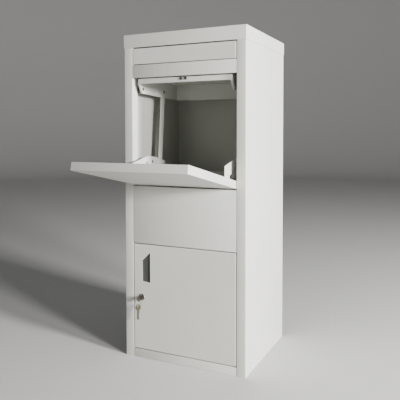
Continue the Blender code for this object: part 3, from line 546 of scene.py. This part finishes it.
class DropBoxSizes(bpy.types.PropertyGroup):
    """Sheet thicknesses, bends and corner radii that the finished pieces share."""

    wall: bpy.props.FloatProperty(
        name="Wall sheet",
        description="Thickness of side, back, base and cap sheet",
        unit="LENGTH",
        default=0.0015,
    )
    panel: bpy.props.FloatProperty(
        name="Panel sheet",
        description="Thickness of door, front, hood and shelf sheet",
        unit="LENGTH",
        default=0.0012,
    )
    bend: bpy.props.FloatProperty(
        name="Bend", description="Outer radius of a bend in the sheet", unit="LENGTH", default=0.0012
    )
    corner: bpy.props.FloatProperty(
        name="Corner", description="Radius of a folded and ground pan corner", unit="LENGTH", default=0.0020
    )


def sizes():
    return bpy.context.scene.drop_box_sizes


# Cabinet


RETURN_DEPTH = 0.030
BACK_FLANGE = 0.020
FRAME_FLANGE = 0.020
BAND_LOWER_FLANGE = 0.007


def side_panel(side, sign):
    """Side wall, stile, return and back flange: one section drawn up the cabinet's full height."""
    node = f"{side}_side_panel"
    start, end = low(node), high(node)
    outer = end[0] if sign > 0 else start[0]
    opening = start[0] if sign > 0 else end[0]
    path = np.array(
        [
            (opening, start[1] + RETURN_DEPTH),
            (opening, start[1]),
            (outer, start[1]),
            (outer, end[1]),
            (outer - sign * BACK_FLANGE, end[1]),
        ]
    )
    if sign < 0:
        path = path[::-1]
    section = bent_section(path, sizes().wall, sizes().bend)
    panel = plate(section, end[2] - start[2], FACING_UP, (0, 0, end[2]), edge=0.0002)
    piece = make(f"{side}_side", [panel], finish("powder_coat"))
    return settle(piece, "cabinet", "powder_coat", node)


def top_cap():
    start, end = low("top_cap"), high("top_cap")
    outline = rectangle(start[0], start[1], end[0], end[1], sizes().corner)
    skin = pan(outline, sizes().wall, sizes().bend, end[2] - start[2], FACING_UP, (0, 0, end[2]))
    piece = make("cap", [skin], finish("powder_coat"))
    return settle(piece, "cabinet", "powder_coat", "top_cap")


def base_pan():
    start, end = low("base_pan"), high("base_pan")
    outline = rectangle(-end[0], start[1], -start[0], end[1], sizes().corner)
    skin = pan(outline, sizes().wall, sizes().bend, end[2] - start[2], FACING_DOWN, (0, 0, start[2]))
    piece = make("base", [skin], finish("powder_coat"))
    return settle(piece, "cabinet", "powder_coat", "base_pan")


BACK_CORNER = 0.0010


def back_panel():
    start, end = low("back_panel"), high("back_panel")
    outline = rectangle(-end[0], start[2], -start[0], end[2], BACK_CORNER)
    skin = plate(outline, end[1] - start[1], FACING_BACK, (0, end[1], 0))
    piece = make("back", [skin], finish("powder_coat"))
    return settle(piece, "cabinet", "powder_coat", "back_panel")


def channel(node, name, upper, lower):
    """A fixed front panel: a C section drawn across the opening, with flanges of two depths."""
    start, end = low(node), high(node)
    face = -start[1]
    path = [(face - upper, end[2]), (face, end[2]), (face, start[2]), (face - lower, start[2])]
    section = bent_section(path[::-1], sizes().panel, sizes().bend)
    skin = plate(section, end[0] - start[0], FACING_LEFT, (start[0], 0, 0), edge=0.0002)
    piece = make(name, [skin], finish("powder_coat"))
    return settle(piece, "cabinet", "powder_coat", node)


# Letter flap and hatch


def front_pan(node, name, body, depth):
    start, end = low(node), high(node)
    outline = rectangle(start[0], start[2], end[0], end[2], sizes().corner)
    skin = pan(outline, sizes().panel, sizes().bend, depth, FACING_FRONT, (0, start[1], 0))
    piece = make(name, [skin], finish("powder_coat"))
    return settle(piece, body, "powder_coat", node)


FLAP_DEPTH = 0.010
HATCH_DEPTH = 0.022
HATCH_FOOT_GAP = 0.0055
HATCH_HEAD_GAP = 0.004
SPRING_BORE = 0.0023
# From turn to turn, in radii of the wire.
SPRING_PITCH = 2.05


def flap_spring():
    """The flap's torsion spring: a close coil on the rod."""
    start, end = low("flap_spring"), high("flap_spring")
    outer = (end[2] - start[2]) / 2
    wire = (outer - SPRING_BORE) / 2
    turns = int((end[0] - start[0]) / (2 * wire)) - 1
    radius = (outer + SPRING_BORE) / 2
    pitch = SPRING_PITCH * wire
    wound = coil(middle("flap_spring"), (1, 0, 0), radius, wire, turns, pitch, steps=20)
    piece = make("spring", [wound], finish("zinc_steel"))
    return settle(piece, "cabinet", "zinc_steel", "flap_spring")


def hatch_open_turn():
    return math.radians(joint("hatch_hinge")["range_deg"][1])


def hatch_pins():
    return np.array(joint("hatch_hinge")["pos_m"])


def hatch_door():
    """The hatch's pan, worked out upright and turned about its pins to where it stands open. Its
    closed box follows from the openings' edges that it hangs between."""
    half = high("hatch_door")[0]
    foot = high("middle_panel")[2] + HATCH_FOOT_GAP
    head = low("cross_band")[2] - HATCH_HEAD_GAP
    outline = rectangle(-half, foot, half, head, sizes().corner)
    skin = pan(outline, sizes().panel, sizes().bend, HATCH_DEPTH, FACING_FRONT, (0, FRONT, 0))
    piece = make("hatch", [spun(skin, hatch_pins(), hatch_open_turn())], finish("powder_coat"))
    return settle(piece, "hatch", "powder_coat", "hatch_door")


# Outlines of the bucket's plates as it stands open: depth behind the front, height over the pins.
EAR_DEPTH = 0.142
CHEEK_OUTLINE = (
    (0.014, 0.0218),
    (EAR_DEPTH - 0.024, 0.0218),
    (EAR_DEPTH - 0.012, -0.009),
    (EAR_DEPTH + 0.012, -0.009),
    (EAR_DEPTH + 0.024, 0.0218),
    (0.235, 0.0218),
    (0.235, 0.031),
    (0.211, 0.053),
    (0.100, 0.076),
    (0.014, 0.040),
)
CHEEK_RADII = (0.001, 0.006, 0.008, 0.008, 0.006, 0.001, 0.004, 0.010, 0.016, 0.010)
ARM_OUTLINE = (
    (-0.006, -0.0030),
    (-0.006, 0.032),
    (0.100, 0.043),
    (0.100, 0.076),
    (0.054, 0.079),
    (-0.041, 0.060),
    (-0.043, 0.0045),
)
ARM_RADII = (0.001, 0.004, 0.005, 0.005, 0.005, 0.004, 0.001)
FOOT_LOW, FOOT_HIGH = 0.014, 0.050
ARM_SHEET = 0.0015
ARM_FOOT_CORNER = 0.0030
SHELF_OVER_PINS = 0.023
SHELF_CORNER = 0.0004


def from_pins(outline):
    """(y, z) points of an outline given behind the front and over the hatch pins."""
    return np.asarray(outline) + (FRONT, hatch_pins()[2])


def shelf():
    """The bucket's floor between its two cheeks. Each cheek has an ear below the floor for the link."""
    start, end = low("shelf"), high("shelf")
    thick = sizes().panel
    level = hatch_pins()[2] + SHELF_OVER_PINS
    outline = rectangle(start[0] + thick, start[1], end[0] - thick, end[1], SHELF_CORNER)
    parts = [plate(outline, thick, FACING_UP, (0, 0, level), edge=0.0001)]
    cheek = rounded(from_pins(CHEEK_OUTLINE), CHEEK_RADII)
    for outer in (start[0] + thick, end[0]):
        parts.append(plate(cheek, thick, FACING_RIGHT, (outer, 0, 0)))
    piece = make("bucket", parts, finish("powder_coat"))
    return settle(piece, "hatch", "powder_coat", "shelf")


def arm(side, sign):
    """An arm from the hatch to the shelf's cheek, with its foot folded flat against the hatch."""
    node = f"hatch_arm_{side}"
    start, end = low(node), high(node)
    thick = ARM_SHEET
    wall = end[0] if sign > 0 else start[0] + thick
    parts = [plate(rounded(from_pins(ARM_OUTLINE), ARM_RADII), thick, FACING_RIGHT, (wall, 0, 0))]
    foot_face = FRONT + sizes().panel + TOUCH_GAP
    pins = hatch_pins()
    left = start[0] if sign > 0 else start[0] + thick
    right = end[0] - thick if sign > 0 else end[0]
    outline = rectangle(left, pins[2] + FOOT_LOW, right, pins[2] + FOOT_HIGH, ARM_FOOT_CORNER)
    foot = plate(outline, thick, FACING_FRONT, (0, foot_face, 0))
    parts.append(spun(foot, pins, hatch_open_turn()))
    piece = make(f"arm_{side}", parts, finish("powder_coat"))
    return settle(piece, "hatch", "powder_coat", node)


# Radius of the shaft and height of the head.
ARM_RIVET = (0.0020, 0.0012)
PIN = (0.0025, 0.0017)
# A head's dome falls by this share of the head's height, and its first ring lies this share of a
# quarter turn out.
DOME_RISE, DOME_FLAT = 0.75, 0.15
PIN_CHAMFER = 0.0005


def headed_profile(outer, inner, shaft, head_radius, head, inner_head):
    """A pin down its outside, from the crown of its domed outer head to its inner end. The dome's
    height falls off as the cosine of the angle whose sine gives its radius."""
    angle = np.linspace(DOME_FLAT, 1, 6) * np.pi / 2
    rise = DOME_RISE * head
    dome = [(head_radius * math.sin(a), rise * (1 - math.cos(a))) for a in angle]
    profile = [(0, outer)] + [(radius, outer - drop) for radius, drop in dome]
    profile += [(head_radius, outer - head), (shaft, outer - head)]
    if not inner_head:
        return profile + [(shaft, inner + PIN_CHAMFER), (shaft - PIN_CHAMFER, inner), (0, inner)]
    profile += [(shaft, inner + head), (head_radius, inner + head)]
    return profile + [(radius, inner + drop) for radius, drop in dome[::-1]] + [(0, inner)]


def cross_pin(node, body, sign, shaft, head, inner_head=True):
    """A pin or rivet that lies along X, with its outer head on the given side."""
    start, end = low(node), high(node)
    centre = middle(node)
    facing = FACING_RIGHT if sign > 0 else FACING_LEFT
    outer, inner = (end[0], start[0]) if sign > 0 else (-start[0], -end[0])
    head_radius = (end[2] - start[2]) / 2
    profile = headed_profile(outer, inner, shaft, head_radius, head, inner_head)
    piece = make(f"{node}_domed", [turned(profile, facing, (0, centre[1], centre[2]))], finish("zinc_steel"))
    return settle(piece, body, "zinc_steel", node)


# Hood and links


HOOD_FLANGE_DEPTHS = ((0.0, 0.0155), (0.016, 0.0425), (0.256, 0.0525))
HOOD_LIP_WIDTH = 0.006


def hood_lip(sign):
    """The strip turned inward along the slanted front edge of a hood flange."""
    start, end = low("hood"), high("hood")
    sheet = sizes().panel
    (near, shallow), (far, deep), _ = HOOD_FLANGE_DEPTHS
    edge = np.array([[start[1] + near, end[2] - shallow], [start[1] + far, end[2] - deep]])
    run = edge[1] - edge[0]
    back = np.array([-run[1], run[0]]) / math.hypot(*run) * sheet
    outline = np.array([edge[0], edge[1], edge[1] + back, edge[0] + back])
    inner = end[0] - sheet if sign > 0 else start[0] + sheet + HOOD_LIP_WIDTH
    return plate(outline, HOOD_LIP_WIDTH, FACING_RIGHT, (inner, 0, 0), edge=0.0001)


def hood():
    """The hood's upturned pan. Its flanges deepen from the front edge back: along a side the depth is
    read off HOOD_FLANGE_DEPTHS, pairs of distance from the hood's front edge and depth."""
    start, end = low("hood"), high("hood")
    arcs = rectangle(start[0], start[1], end[0], end[1], sizes().corner)
    half = len(arcs) // 2
    distance, depth = np.transpose(HOOD_FLANGE_DEPTHS)
    nose = start[1] + distance[1]
    outline = np.concatenate([arcs[:half], [(end[0], nose)], arcs[half:], [(start[0], nose)]])
    depths = np.interp(outline[:, 1] - start[1], distance, depth)
    skin = pan(outline, sizes().panel, sizes().bend, depths, FACING_UP, (0, 0, end[2]))
    piece = make("hood_pan", [skin, hood_lip(-1), hood_lip(1)], finish("powder_coat"))
    return settle(piece, "hood", "powder_coat", "hood")


# Radius of a moulded button's rim, as a share of its thickness.
DISC_RIM = 0.35


def disc(node, name, body, slot, facing):
    """A moulded button with a rounded rim, laid on the side that it faces."""
    start, end = low(node), high(node)
    radius, thick = (end[0] - start[0]) / 2, end[1] - start[1]
    rim = DISC_RIM * thick
    profile = [(0, thick), (radius - rim, thick)]
    profile += quarter((radius - rim, thick), (radius, thick - rim))[1:] + [(radius, 0), (0, 0)]
    centre = middle(node)
    centre[1] = end[1]
    piece = make(name, [turned(profile, facing, centre)], finish(slot))
    return settle(piece, body, slot, node)


LINK_RADIUS = 0.012
LINK_EDGE = 0.0004
STOP_SHEET, STOP_BEND = 0.002, 0.003


def link_bar(side):
    node = f"{side}_link_bar"
    start, end = low(node), high(node)
    foot = np.array(joint(f"{side}_link_pivot")["pos_m"])[1:]
    head = (end[1] - LINK_RADIUS, end[2] - LINK_RADIUS)
    outline = stadium(foot, head, LINK_RADIUS)
    bar = plate(outline, end[0] - start[0], FACING_RIGHT, (end[0], 0, 0), edge=LINK_EDGE)
    piece = make(f"{side}_bar", [bar], finish("powder_coat"))
    return settle(piece, f"{side}_link", "powder_coat", node)


def hatch_stop(side, sign):
    """An angle on the side wall. Its leg lies over the raised hood and stops it."""
    node = f"hatch_stop_{side}"
    start, end = low(node), high(node)
    outer, inner = (end[0], start[0]) if sign > 0 else (start[0], end[0])
    path = [(outer, end[2]), (outer, start[2]), (inner, start[2])]
    if sign > 0:
        path = path[::-1]
    section = bent_section(path, STOP_SHEET, STOP_BEND)
    skin = plate(section, end[1] - start[1], FACING_FRONT, (0, start[1], 0), edge=0.0002)
    piece = make(f"stop_{side}", [skin], finish("zinc_steel"))
    return settle(piece, "cabinet", "zinc_steel", node)


# Collection door


PULL_INSET, PULL_WIDTH = 0.0285, 0.0285
PULL_TOP_DROP, PULL_TALL, PULL_SHORT, PULL_FOOT = 0.0235, 0.094, 0.064, 0.003
PULL_RIM, PULL_WALL = 0.004, 0.0012
PULL_CORNER = 0.0015
PULL_SHALLOW, PULL_FALL = 0.0022, 0.62


def pull_corners():
    """The recessed pull's trapezium, with its long side nearer the hinge."""
    left = low("collection_door")[0] + PULL_INSET
    right = left + PULL_WIDTH
    top = high("collection_door")[2] - PULL_TOP_DROP
    foot = top - PULL_TALL
    return [(left, foot + PULL_FOOT), (right, foot), (right, top), (left, foot + PULL_FOOT + PULL_SHORT)]


def lock_place():
    return np.array(joint("lock_turn")["pos_m"])


def collection_door():
    """The door's pan, opened for the pull and for the lock's barrel."""
    start, end = low("collection_door"), high("collection_door")
    outline = rectangle(start[0], start[2], end[0], end[2], sizes().corner)
    coat = finish("powder_coat")
    depth = end[1] - start[1]
    skin = pan(outline, sizes().panel, sizes().bend, depth, FACING_FRONT, (0, start[1], 0))
    piece = make("door", [skin], coat)
    through = 3 * sizes().panel
    ahead = (0, start[1] - sizes().panel, 0)
    trapezium = rounded(pull_corners(), PULL_CORNER)
    pull_hole = make("pull_hole", [plate(trapezium, through, FACING_FRONT, ahead, CUTTER_EDGE)], coat)
    barrel = circle(lock_place()[[0, 2]], LOCK_HOLE)
    lock_hole = make("lock_hole", [plate(barrel, through, FACING_FRONT, ahead, CUTTER_EDGE)], coat)
    opened(piece, [pull_hole, lock_hole])
    return settle(piece, "collection_door", "powder_coat", "collection_door")


def smooth_step(value):
    value = np.clip(value, 0, 1)
    return value * value * (3 - 2 * value)


def door_pull():
    """The moulded dish behind the door's opening. Across it the floor is shallow, then falls to the
    full depth under the long side: depth = PULL_SHALLOW + (deep - PULL_SHALLOW) * smooth_step((u -
    PULL_FALL) / (1 - PULL_FALL)), with u from 0 to 1 across. Its walls fall within PULL_WALL of the
    opening's edge, and a flat rim lies round them against the door's skin."""
    start, end = low("door_pull"), high("door_pull")
    deep = end[1] - start[1] - PULL_WALL
    (left, foot_left), (_, foot_right), (_, top_right), (_, top_left) = pull_corners()
    inset = np.array([-PULL_RIM, 0.0, PULL_WALL])
    inner = np.linspace(PULL_WALL, PULL_WIDTH - PULL_WALL, 25)[1:-1]
    across = np.concatenate([inset, inner, PULL_WIDTH - inset[::-1]])
    u = np.clip(across / PULL_WIDTH, 0, 1)
    foot = foot_left + (foot_right - foot_left) * across / PULL_WIDTH
    top = top_left + (top_right - top_left) * across / PULL_WIDTH
    share = np.linspace(0, 1, 9)[1:-1]
    within = (foot + PULL_WALL)[:, None] + (top - foot - 2 * PULL_WALL)[:, None] * share[None]
    up = np.concatenate([foot[:, None] + inset[None], within, top[:, None] - inset[None, ::-1]], axis=1)
    depth = PULL_SHALLOW + (deep - PULL_SHALLOW) * smooth_step((u - PULL_FALL) / (1 - PULL_FALL))
    sunk = np.ones((len(across), up.shape[1]))
    sunk[[0, 1, -2, -1], :] = 0
    sunk[:, [0, 1, -2, -1]] = 0
    height = -sunk * depth[:, None]
    flat = np.stack([np.broadcast_to((left + across)[:, None], up.shape), up], axis=2)
    front = np.concatenate([flat, height[:, :, None]], axis=2)
    back = np.concatenate([flat, height[:, :, None] - PULL_WALL], axis=2)
    faces = slab_faces(*up.shape)
    skin = laid(np.concatenate([front.reshape(-1, 3), back.reshape(-1, 3)]), FACING_FRONT, (0, start[1], 0))
    piece = make("pull", [(skin, faces)], finish("pull_grey"))
    return settle(piece, "collection_door", "pull_grey", "door_pull")


def upright_section(node, name, body, path):
    """A bent strip whose cross-section, given in plan, is drawn up the node's height."""
    start, end = low(node), high(node)
    section = bent_section(path, sizes().panel, sizes().bend)
    skin = plate(section, end[2] - start[2], FACING_UP, (0, 0, end[2]), edge=0.0002)
    piece = make(name, [skin], finish("powder_coat"))
    return settle(piece, body, "powder_coat", node)


def door_stiffener():
    start, end = low("door_stiffener"), high("door_stiffener")
    crown = (end[0] - start[0]) / 4
    near, far = start[1], end[1]
    path = [(start[0], near), (-crown, near), (-crown, far), (crown, far), (crown, near), (end[0], near)]
    return upright_section("door_stiffener", "stiffener", "collection_door", path)


def door_stop_strip():
    start, end = low("door_stop_strip"), high("door_stop_strip")
    path = [(start[0], end[1]), (start[0], start[1]), (end[0], start[1])]
    return upright_section("door_stop_strip", "stop_strip", "cabinet", path)


# Lock and keys


LOCK_BORE, LOCK_BARREL = 0.0063, 0.0088
LOCK_HOLE = 0.0091
BORE_BEVEL, BEZEL_BEVEL, BEZEL_SHOULDER = 0.0004, 0.0014, 0.0004
PLUG_BEVEL = 0.0005
KEYWAY_HALF_WIDTH, KEYWAY_HALF_HEIGHT, KEYWAY_REACH = 0.0013, 0.0043, 0.0188
KEYWAY_AHEAD, KEYWAY_CORNER = 0.001, 0.0004


def lock_body():
    """The barrel with its bevelled bezel, as a ring round the plug."""
    start, end = low("lock_body"), high("lock_body")
    place = lock_place()
    radius = (end[0] - start[0]) / 2
    front, tail = FRONT - start[1], FRONT - end[1]
    profile = [
        (LOCK_BORE, front - BORE_BEVEL),
        (LOCK_BORE + BORE_BEVEL, front),
        (radius - BEZEL_BEVEL, front),
        (radius - BEZEL_SHOULDER, front - BEZEL_BEVEL / 2),
        (radius, front - BEZEL_BEVEL),
        (radius, TOUCH_GAP),
        (LOCK_BARREL, TOUCH_GAP),
        (LOCK_BARREL, tail),
        (LOCK_BORE, tail),
    ]
    barrel = turned(profile, FACING_FRONT, (place[0], FRONT, place[2]), 64)
    piece = make("lock_barrel", [barrel], finish("chrome"))
    return settle(piece, "collection_door", "chrome", "lock_body")


def lock_plug():
    """The plug, with a keyway cut a little wider than the blade."""
    start, end = low("lock_plug"), high("lock_plug")
    place = lock_place()
    radius, front, tail = (end[0] - start[0]) / 2, FRONT - start[1], FRONT - end[1]
    profile = [(0, front), (radius - PLUG_BEVEL, front), (radius, front - PLUG_BEVEL)]
    profile += [(radius, tail), (0, tail)]
    chrome = finish("chrome")
    piece = make("plug", [turned(profile, FACING_FRONT, (place[0], FRONT, place[2]))], chrome)
    half = np.array([KEYWAY_HALF_WIDTH, KEYWAY_HALF_HEIGHT])
    slot = rectangle(*(place[[0, 2]] - half), *(place[[0, 2]] + half), KEYWAY_CORNER, 3)
    ahead = (0, start[1] - KEYWAY_AHEAD, 0)
    keyway = make("keyway", [plate(slot, KEYWAY_REACH, FACING_FRONT, ahead, CUTTER_EDGE)], chrome)
    opened(piece, [keyway])
    return settle(piece, "lock_plug", "chrome", "lock_plug")


KEY_THICK, KEY_WIDTH, BOW_RADIUS, KEY_NECK = 0.0020, 0.0080, 0.0095, 0.0045
KEY_HOLE_RADIUS, KEY_HOLE_OFFSET = 0.0028, 0.0052
RING_RADIUS, RING_WIRE = 0.0090, 0.0008
# From turn to turn, in thicknesses of the wire.
RING_PITCH = 0.95
SPARE_TURN = math.radians(-25)
KEY_BLADE, SPARE_BLADE = 0.0195, 0.024
KEY_TIP_LENGTH, KEY_TIP_HALF = 0.0030, 0.0008
# Where the first cut lies from the tip, and how much of the blade has none.
KEY_CUTS_START, KEY_UNCUT = 0.0045, 0.0050
KEY_CUT_FLAT = (0.0010, 0.0004)
KEY_CREST_BACK, KEY_CREST_DROP = 0.0002, 0.0006
KEY_CUTS = (0.0012, 0.0026, 0.0018, 0.0030, 0.0014)


def key_outline(blade):
    """A key about its bow's centre, with the blade along the first axis. The bow is an arc up to the
    blade's edges. One edge of the blade has cuts with sloped sides, and the tip comes to a point."""
    half = KEY_WIDTH / 2
    tip = BOW_RADIUS + KEY_NECK + blade
    root = math.asin(half / BOW_RADIUS)
    angle = np.linspace(root, 2 * np.pi - root, 49)
    bow = BOW_RADIUS * np.stack([np.cos(angle), np.sin(angle)], axis=1)
    points = [(tip - KEY_TIP_LENGTH, -half), (tip, -KEY_TIP_HALF), (tip, KEY_TIP_HALF)]
    pitch = (blade - KEY_UNCUT) / len(KEY_CUTS)
    for index, cut in enumerate(KEY_CUTS):
        place = tip - KEY_CUTS_START - pitch * index
        edge = half - cut
        points += [(place + KEY_CUT_FLAT[0], edge), (place - KEY_CUT_FLAT[1], edge)]
        points.append((place - pitch / 2 - KEY_CREST_BACK, half - KEY_CREST_DROP))
    return np.concatenate([bow, points, [(tip - blade, half)]])


def key_blank(name, bow, along, outward, blade, body, node):
    """A key whose blade points along one direction and whose flat sides face another."""
    across = np.cross(outward, along)
    facing = (along, across, outward)
    metal = finish("key_metal")
    face = np.asarray(bow) + np.asarray(outward) * KEY_THICK / 2
    piece = make(name, [plate(key_outline(blade), KEY_THICK, facing, face, 0.0002)], metal)
    hole = circle((-KEY_HOLE_OFFSET, 0), KEY_HOLE_RADIUS)
    ahead = face + np.asarray(outward) * KEY_THICK
    cutter = make(f"{name}_hole", [plate(hole, 3 * KEY_THICK, facing, ahead, CUTTER_EDGE)], metal)
    opened(piece, [cutter])
    return settle(piece, body, "key_metal", node)


def keys():
    """The key in the lock, and its spare that hangs from the ring."""
    place = lock_place()
    bow = (place[0], low("key")[1] + BOW_RADIUS, place[2])
    key_blank("key_in_lock", bow, (0, 1, 0), (1, 0, 0), KEY_BLADE, "key", "key")
    ring = np.array(joint("key_ring_swing")["pos_m"])
    spare = (ring[0], ring[1], high("spare_key")[2] - BOW_RADIUS)
    outward = (math.cos(SPARE_TURN), math.sin(SPARE_TURN), 0)
    key_blank("spare", spare, (0, 0, -1), outward, SPARE_BLADE, "key_ring", "spare_key")


def key_ring():
    """A split ring: two turns of fine wire side by side."""
    centre = np.array(joint("key_ring_swing")["pos_m"]) - (0, 0, RING_RADIUS)
    wire = RING_WIRE / 2
    wound = coil(centre, (0, 1, 0), RING_RADIUS, wire, 2, RING_PITCH * wire * 2, steps=64)
    piece = make("split_ring", [wound], finish("zinc_steel"))
    return settle(piece, "key_ring", "zinc_steel", "key_ring")


# Stage


FLOOR_RADIUS = 7.0
COVE_RADIUS = 3.0
WALL_TOP = 12.0
FLOOR_COLOR = (0.58, 0.58, 0.575, 1)
FLOOR_ROUGHNESS = 0.8
SKY_COLOR = (0.92, 0.95, 1.0, 1)
SKY_STRENGTH = 0.06
WARM, WHITE = (1.0, 0.985, 0.96), (1.0, 1.0, 1.0)
# Each light's name, place, the point that it faces, its side, its watts and its colour.
LIGHTS = (
    ("key_light", (3.6, -0.85, 1.25), (0, 0, 0.7), 0.5, 350, WARM),
    ("front_light", (3.5, -1.76, 1.15), (0, 0, 0.7), 0.45, 205, WARM),
    ("top_light", (0.3, 0.2, 3.4), (0, 0, 0.5), 2.4, 13, WHITE),
)


def studio():
    """A pale floor that curves up into a wall all round: a profile of (radius, height) turned about
    the vertical."""
    angle = np.linspace(-np.pi / 2, 0, 32)
    bend = COVE_RADIUS * np.stack([np.cos(angle), 1 + np.sin(angle)], axis=1) + (FLOOR_RADIUS, 0)
    profile = np.concatenate([[(0, 0)], bend, [(FLOOR_RADIUS + COVE_RADIUS, WALL_TOP)]])
    turns = np.linspace(0, 2 * np.pi, 97)[:-1]
    flat = profile[:, :1, None] * np.stack([np.cos(turns), np.sin(turns)], axis=1)[None]
    height = np.broadcast_to(profile[:, 1:, None], (len(profile), len(turns), 1))
    rings = np.concatenate([flat, height], axis=2)
    made, _, shader = shader_material("studio_floor")
    shader.inputs["Base Color"].default_value = FLOOR_COLOR
    shader.inputs["Roughness"].default_value = FLOOR_ROUGHNESS
    faces = skin_faces(len(profile), len(turns), cap_first=False, cap_last=False)
    make("studio_floor", [(rings, faces)], made)


def area_light(name, place, aim, side, power, color):
    data = bpy.data.lights.new(name, "AREA")
    data.shape = "RECTANGLE"
    data.size = side
    data.size_y = side
    data.energy = power
    data.color = color
    lamp = bpy.data.objects.new(name, data)
    lamp.location = place
    lamp.rotation_euler = (Vector(aim) - Vector(place)).to_track_quat("-Z", "Y").to_euler()
    bpy.context.scene.collection.objects.link(lamp)


CAMERA_PLACE = (0.7288, -1.5991, 0.6945)
CAMERA_YAW = 25.306
CAMERA_PITCH = 2.292
CAMERA_ROLL = -0.087
CAMERA_LENS = 48.54
CAMERA_SHIFT = -0.110


def camera():
    data = bpy.data.cameras.new("camera")
    data.sensor_width = 36
    data.lens = CAMERA_LENS
    data.shift_y = CAMERA_SHIFT
    data.clip_start = 0.05
    eye = bpy.data.objects.new("camera", data)
    bpy.context.scene.collection.objects.link(eye)
    turn = (
        Matrix.Rotation(math.radians(CAMERA_YAW), 4, "Z")
        @ Matrix.Rotation(math.radians(90 - CAMERA_PITCH), 4, "X")
        @ Matrix.Rotation(math.radians(CAMERA_ROLL), 4, "Z")
    )
    eye.matrix_world = Matrix.Translation(CAMERA_PLACE) @ turn
    bpy.context.scene.camera = eye


def world():
    made = bpy.data.worlds.new("studio")
    made.use_nodes = True
    background = made.node_tree.nodes["Background"]
    background.inputs["Color"].default_value = SKY_COLOR
    background.inputs["Strength"].default_value = SKY_STRENGTH
    bpy.context.scene.world = made


# Operators


class DROPBOX_OT_stage(bpy.types.Operator):
    """Sets up the floor, the lights and the camera"""

    bl_idname = "drop_box.stage"
    bl_label = "Stage"

    def execute(self, context):
        studio()
        world()
        camera()
        for light in LIGHTS:
            area_light(*light)
        return {"FINISHED"}


class DROPBOX_OT_cabinet(bpy.types.Operator):
    """Builds the side panels, cap, base, back and fixed front panels"""

    bl_idname = "drop_box.cabinet"
    bl_label = "Cabinet"

    def execute(self, context):
        for side, sign in SIDES:
            side_panel(side, sign)
        top_cap()
        base_pan()
        back_panel()
        channel("top_rail", "rail_under_cap", FRAME_FLANGE, FRAME_FLANGE)
        channel("cross_band", "band", FRAME_FLANGE, BAND_LOWER_FLANGE)
        channel("middle_panel", "middle", FRAME_FLANGE, FRAME_FLANGE)
        channel("bottom_rail", "rail", FRAME_FLANGE, FRAME_FLANGE)
        return {"FINISHED"}


class DROPBOX_OT_hatch(bpy.types.Operator):
    """Builds the letter flap and the parcel hatch"""

    bl_idname = "drop_box.hatch"
    bl_label = "Hatch and flap"

    def execute(self, context):
        front_pan("letter_flap", "flap", "letter_flap", FLAP_DEPTH)
        flap_spring()
        hatch_door()
        shelf()
        for side, sign in SIDES:
            arm(side, sign)
            for number in (1, 2):
                cross_pin(f"arm_rivet_{side}_{number}", "hatch", sign, *ARM_RIVET)
        return {"FINISHED"}


class DROPBOX_OT_linkage(bpy.types.Operator):
    """Builds the hood, its pins and stops, and the link bars with their rivets"""

    bl_idname = "drop_box.linkage"
    bl_label = "Hood and links"

    def execute(self, context):
        hood()
        for side, sign in SIDES:
            disc(f"hood_button_{side}", f"button_{side}", "hood", "rubber", FACING_FRONT)
            link_bar(side)
            hatch_stop(side, sign)
            cross_pin(f"hood_pin_{side}", "cabinet", sign, *PIN)
            cross_pin(f"hatch_pin_{side}", "cabinet", sign, *PIN, inner_head=False)
            for end in ("lower", "upper"):
                cross_pin(f"{side}_link_{end}_rivet", f"{side}_link", sign, *PIN)
        return {"FINISHED"}


class DROPBOX_OT_door(bpy.types.Operator):
    """Builds the collection door with its pull, stiffener, stop strip and buffers"""

    bl_idname = "drop_box.door"
    bl_label = "Collection door"

    def execute(self, context):
        collection_door()
        door_pull()
        door_stiffener()
        door_stop_strip()
        for place in ("upper", "lower"):
            disc(f"door_buffer_{place}", f"buffer_{place}", "cabinet", "rubber", FACING_FRONT)
        return {"FINISHED"}


class DROPBOX_OT_lock(bpy.types.Operator):
    """Builds the lock, the key in it, the key ring and the spare key"""

    bl_idname = "drop_box.lock"
    bl_label = "Lock and keys"

    def execute(self, context):
        lock_body()
        lock_plug()
        keys()
        key_ring()
        return {"FINISHED"}


class DROPBOX_OT_fittings(bpy.types.Operator):
    """Gives the frame's remaining pieces their finishes"""

    bl_idname = "drop_box.fittings"
    bl_label = "Fittings"

    def execute(self, context):
        slots = {item["node"]: item["material_slot"] for item in frame["record"]["subparts"]}
        for node, piece in frame["nodes"].items():
            for place in piece.material_slots:
                place.material = finish(slots[node])
        return {"FINISHED"}


class DROPBOX_PT_panel(bpy.types.Panel):
    """Lists the builders and the settings in the sidebar"""

    bl_label = "Drop Box"
    bl_idname = "DROPBOX_PT_panel"
    bl_space_type = "VIEW_3D"
    bl_region_type = "UI"
    bl_category = "Drop Box"

    def draw(self, context):
        for builder in BUILDERS:
            self.layout.operator(builder.bl_idname)
        for settings in (context.scene.drop_box_sizes, context.scene.drop_box_finish):
            for name in settings.__annotations__:
                self.layout.prop(settings, name)


BUILDERS = (
    DROPBOX_OT_stage,
    DROPBOX_OT_cabinet,
    DROPBOX_OT_hatch,
    DROPBOX_OT_linkage,
    DROPBOX_OT_door,
    DROPBOX_OT_lock,
    DROPBOX_OT_fittings,
)
CLASSES = (DropBoxFinish, DropBoxSizes, *BUILDERS, DROPBOX_PT_panel)


def register():
    for item in CLASSES:
        bpy.utils.register_class(item)
    bpy.types.Scene.drop_box_finish = bpy.props.PointerProperty(type=DropBoxFinish)
    bpy.types.Scene.drop_box_sizes = bpy.props.PointerProperty(type=DropBoxSizes)


def unregister():
    del bpy.types.Scene.drop_box_sizes
    del bpy.types.Scene.drop_box_finish
    for item in reversed(CLASSES):
        bpy.utils.unregister_class(item)


def main():
    register()
    for builder in BUILDERS:
        group, action = builder.bl_idname.split(".")
        getattr(getattr(bpy.ops, group), action)()


if __name__ == "__main__":
    main()
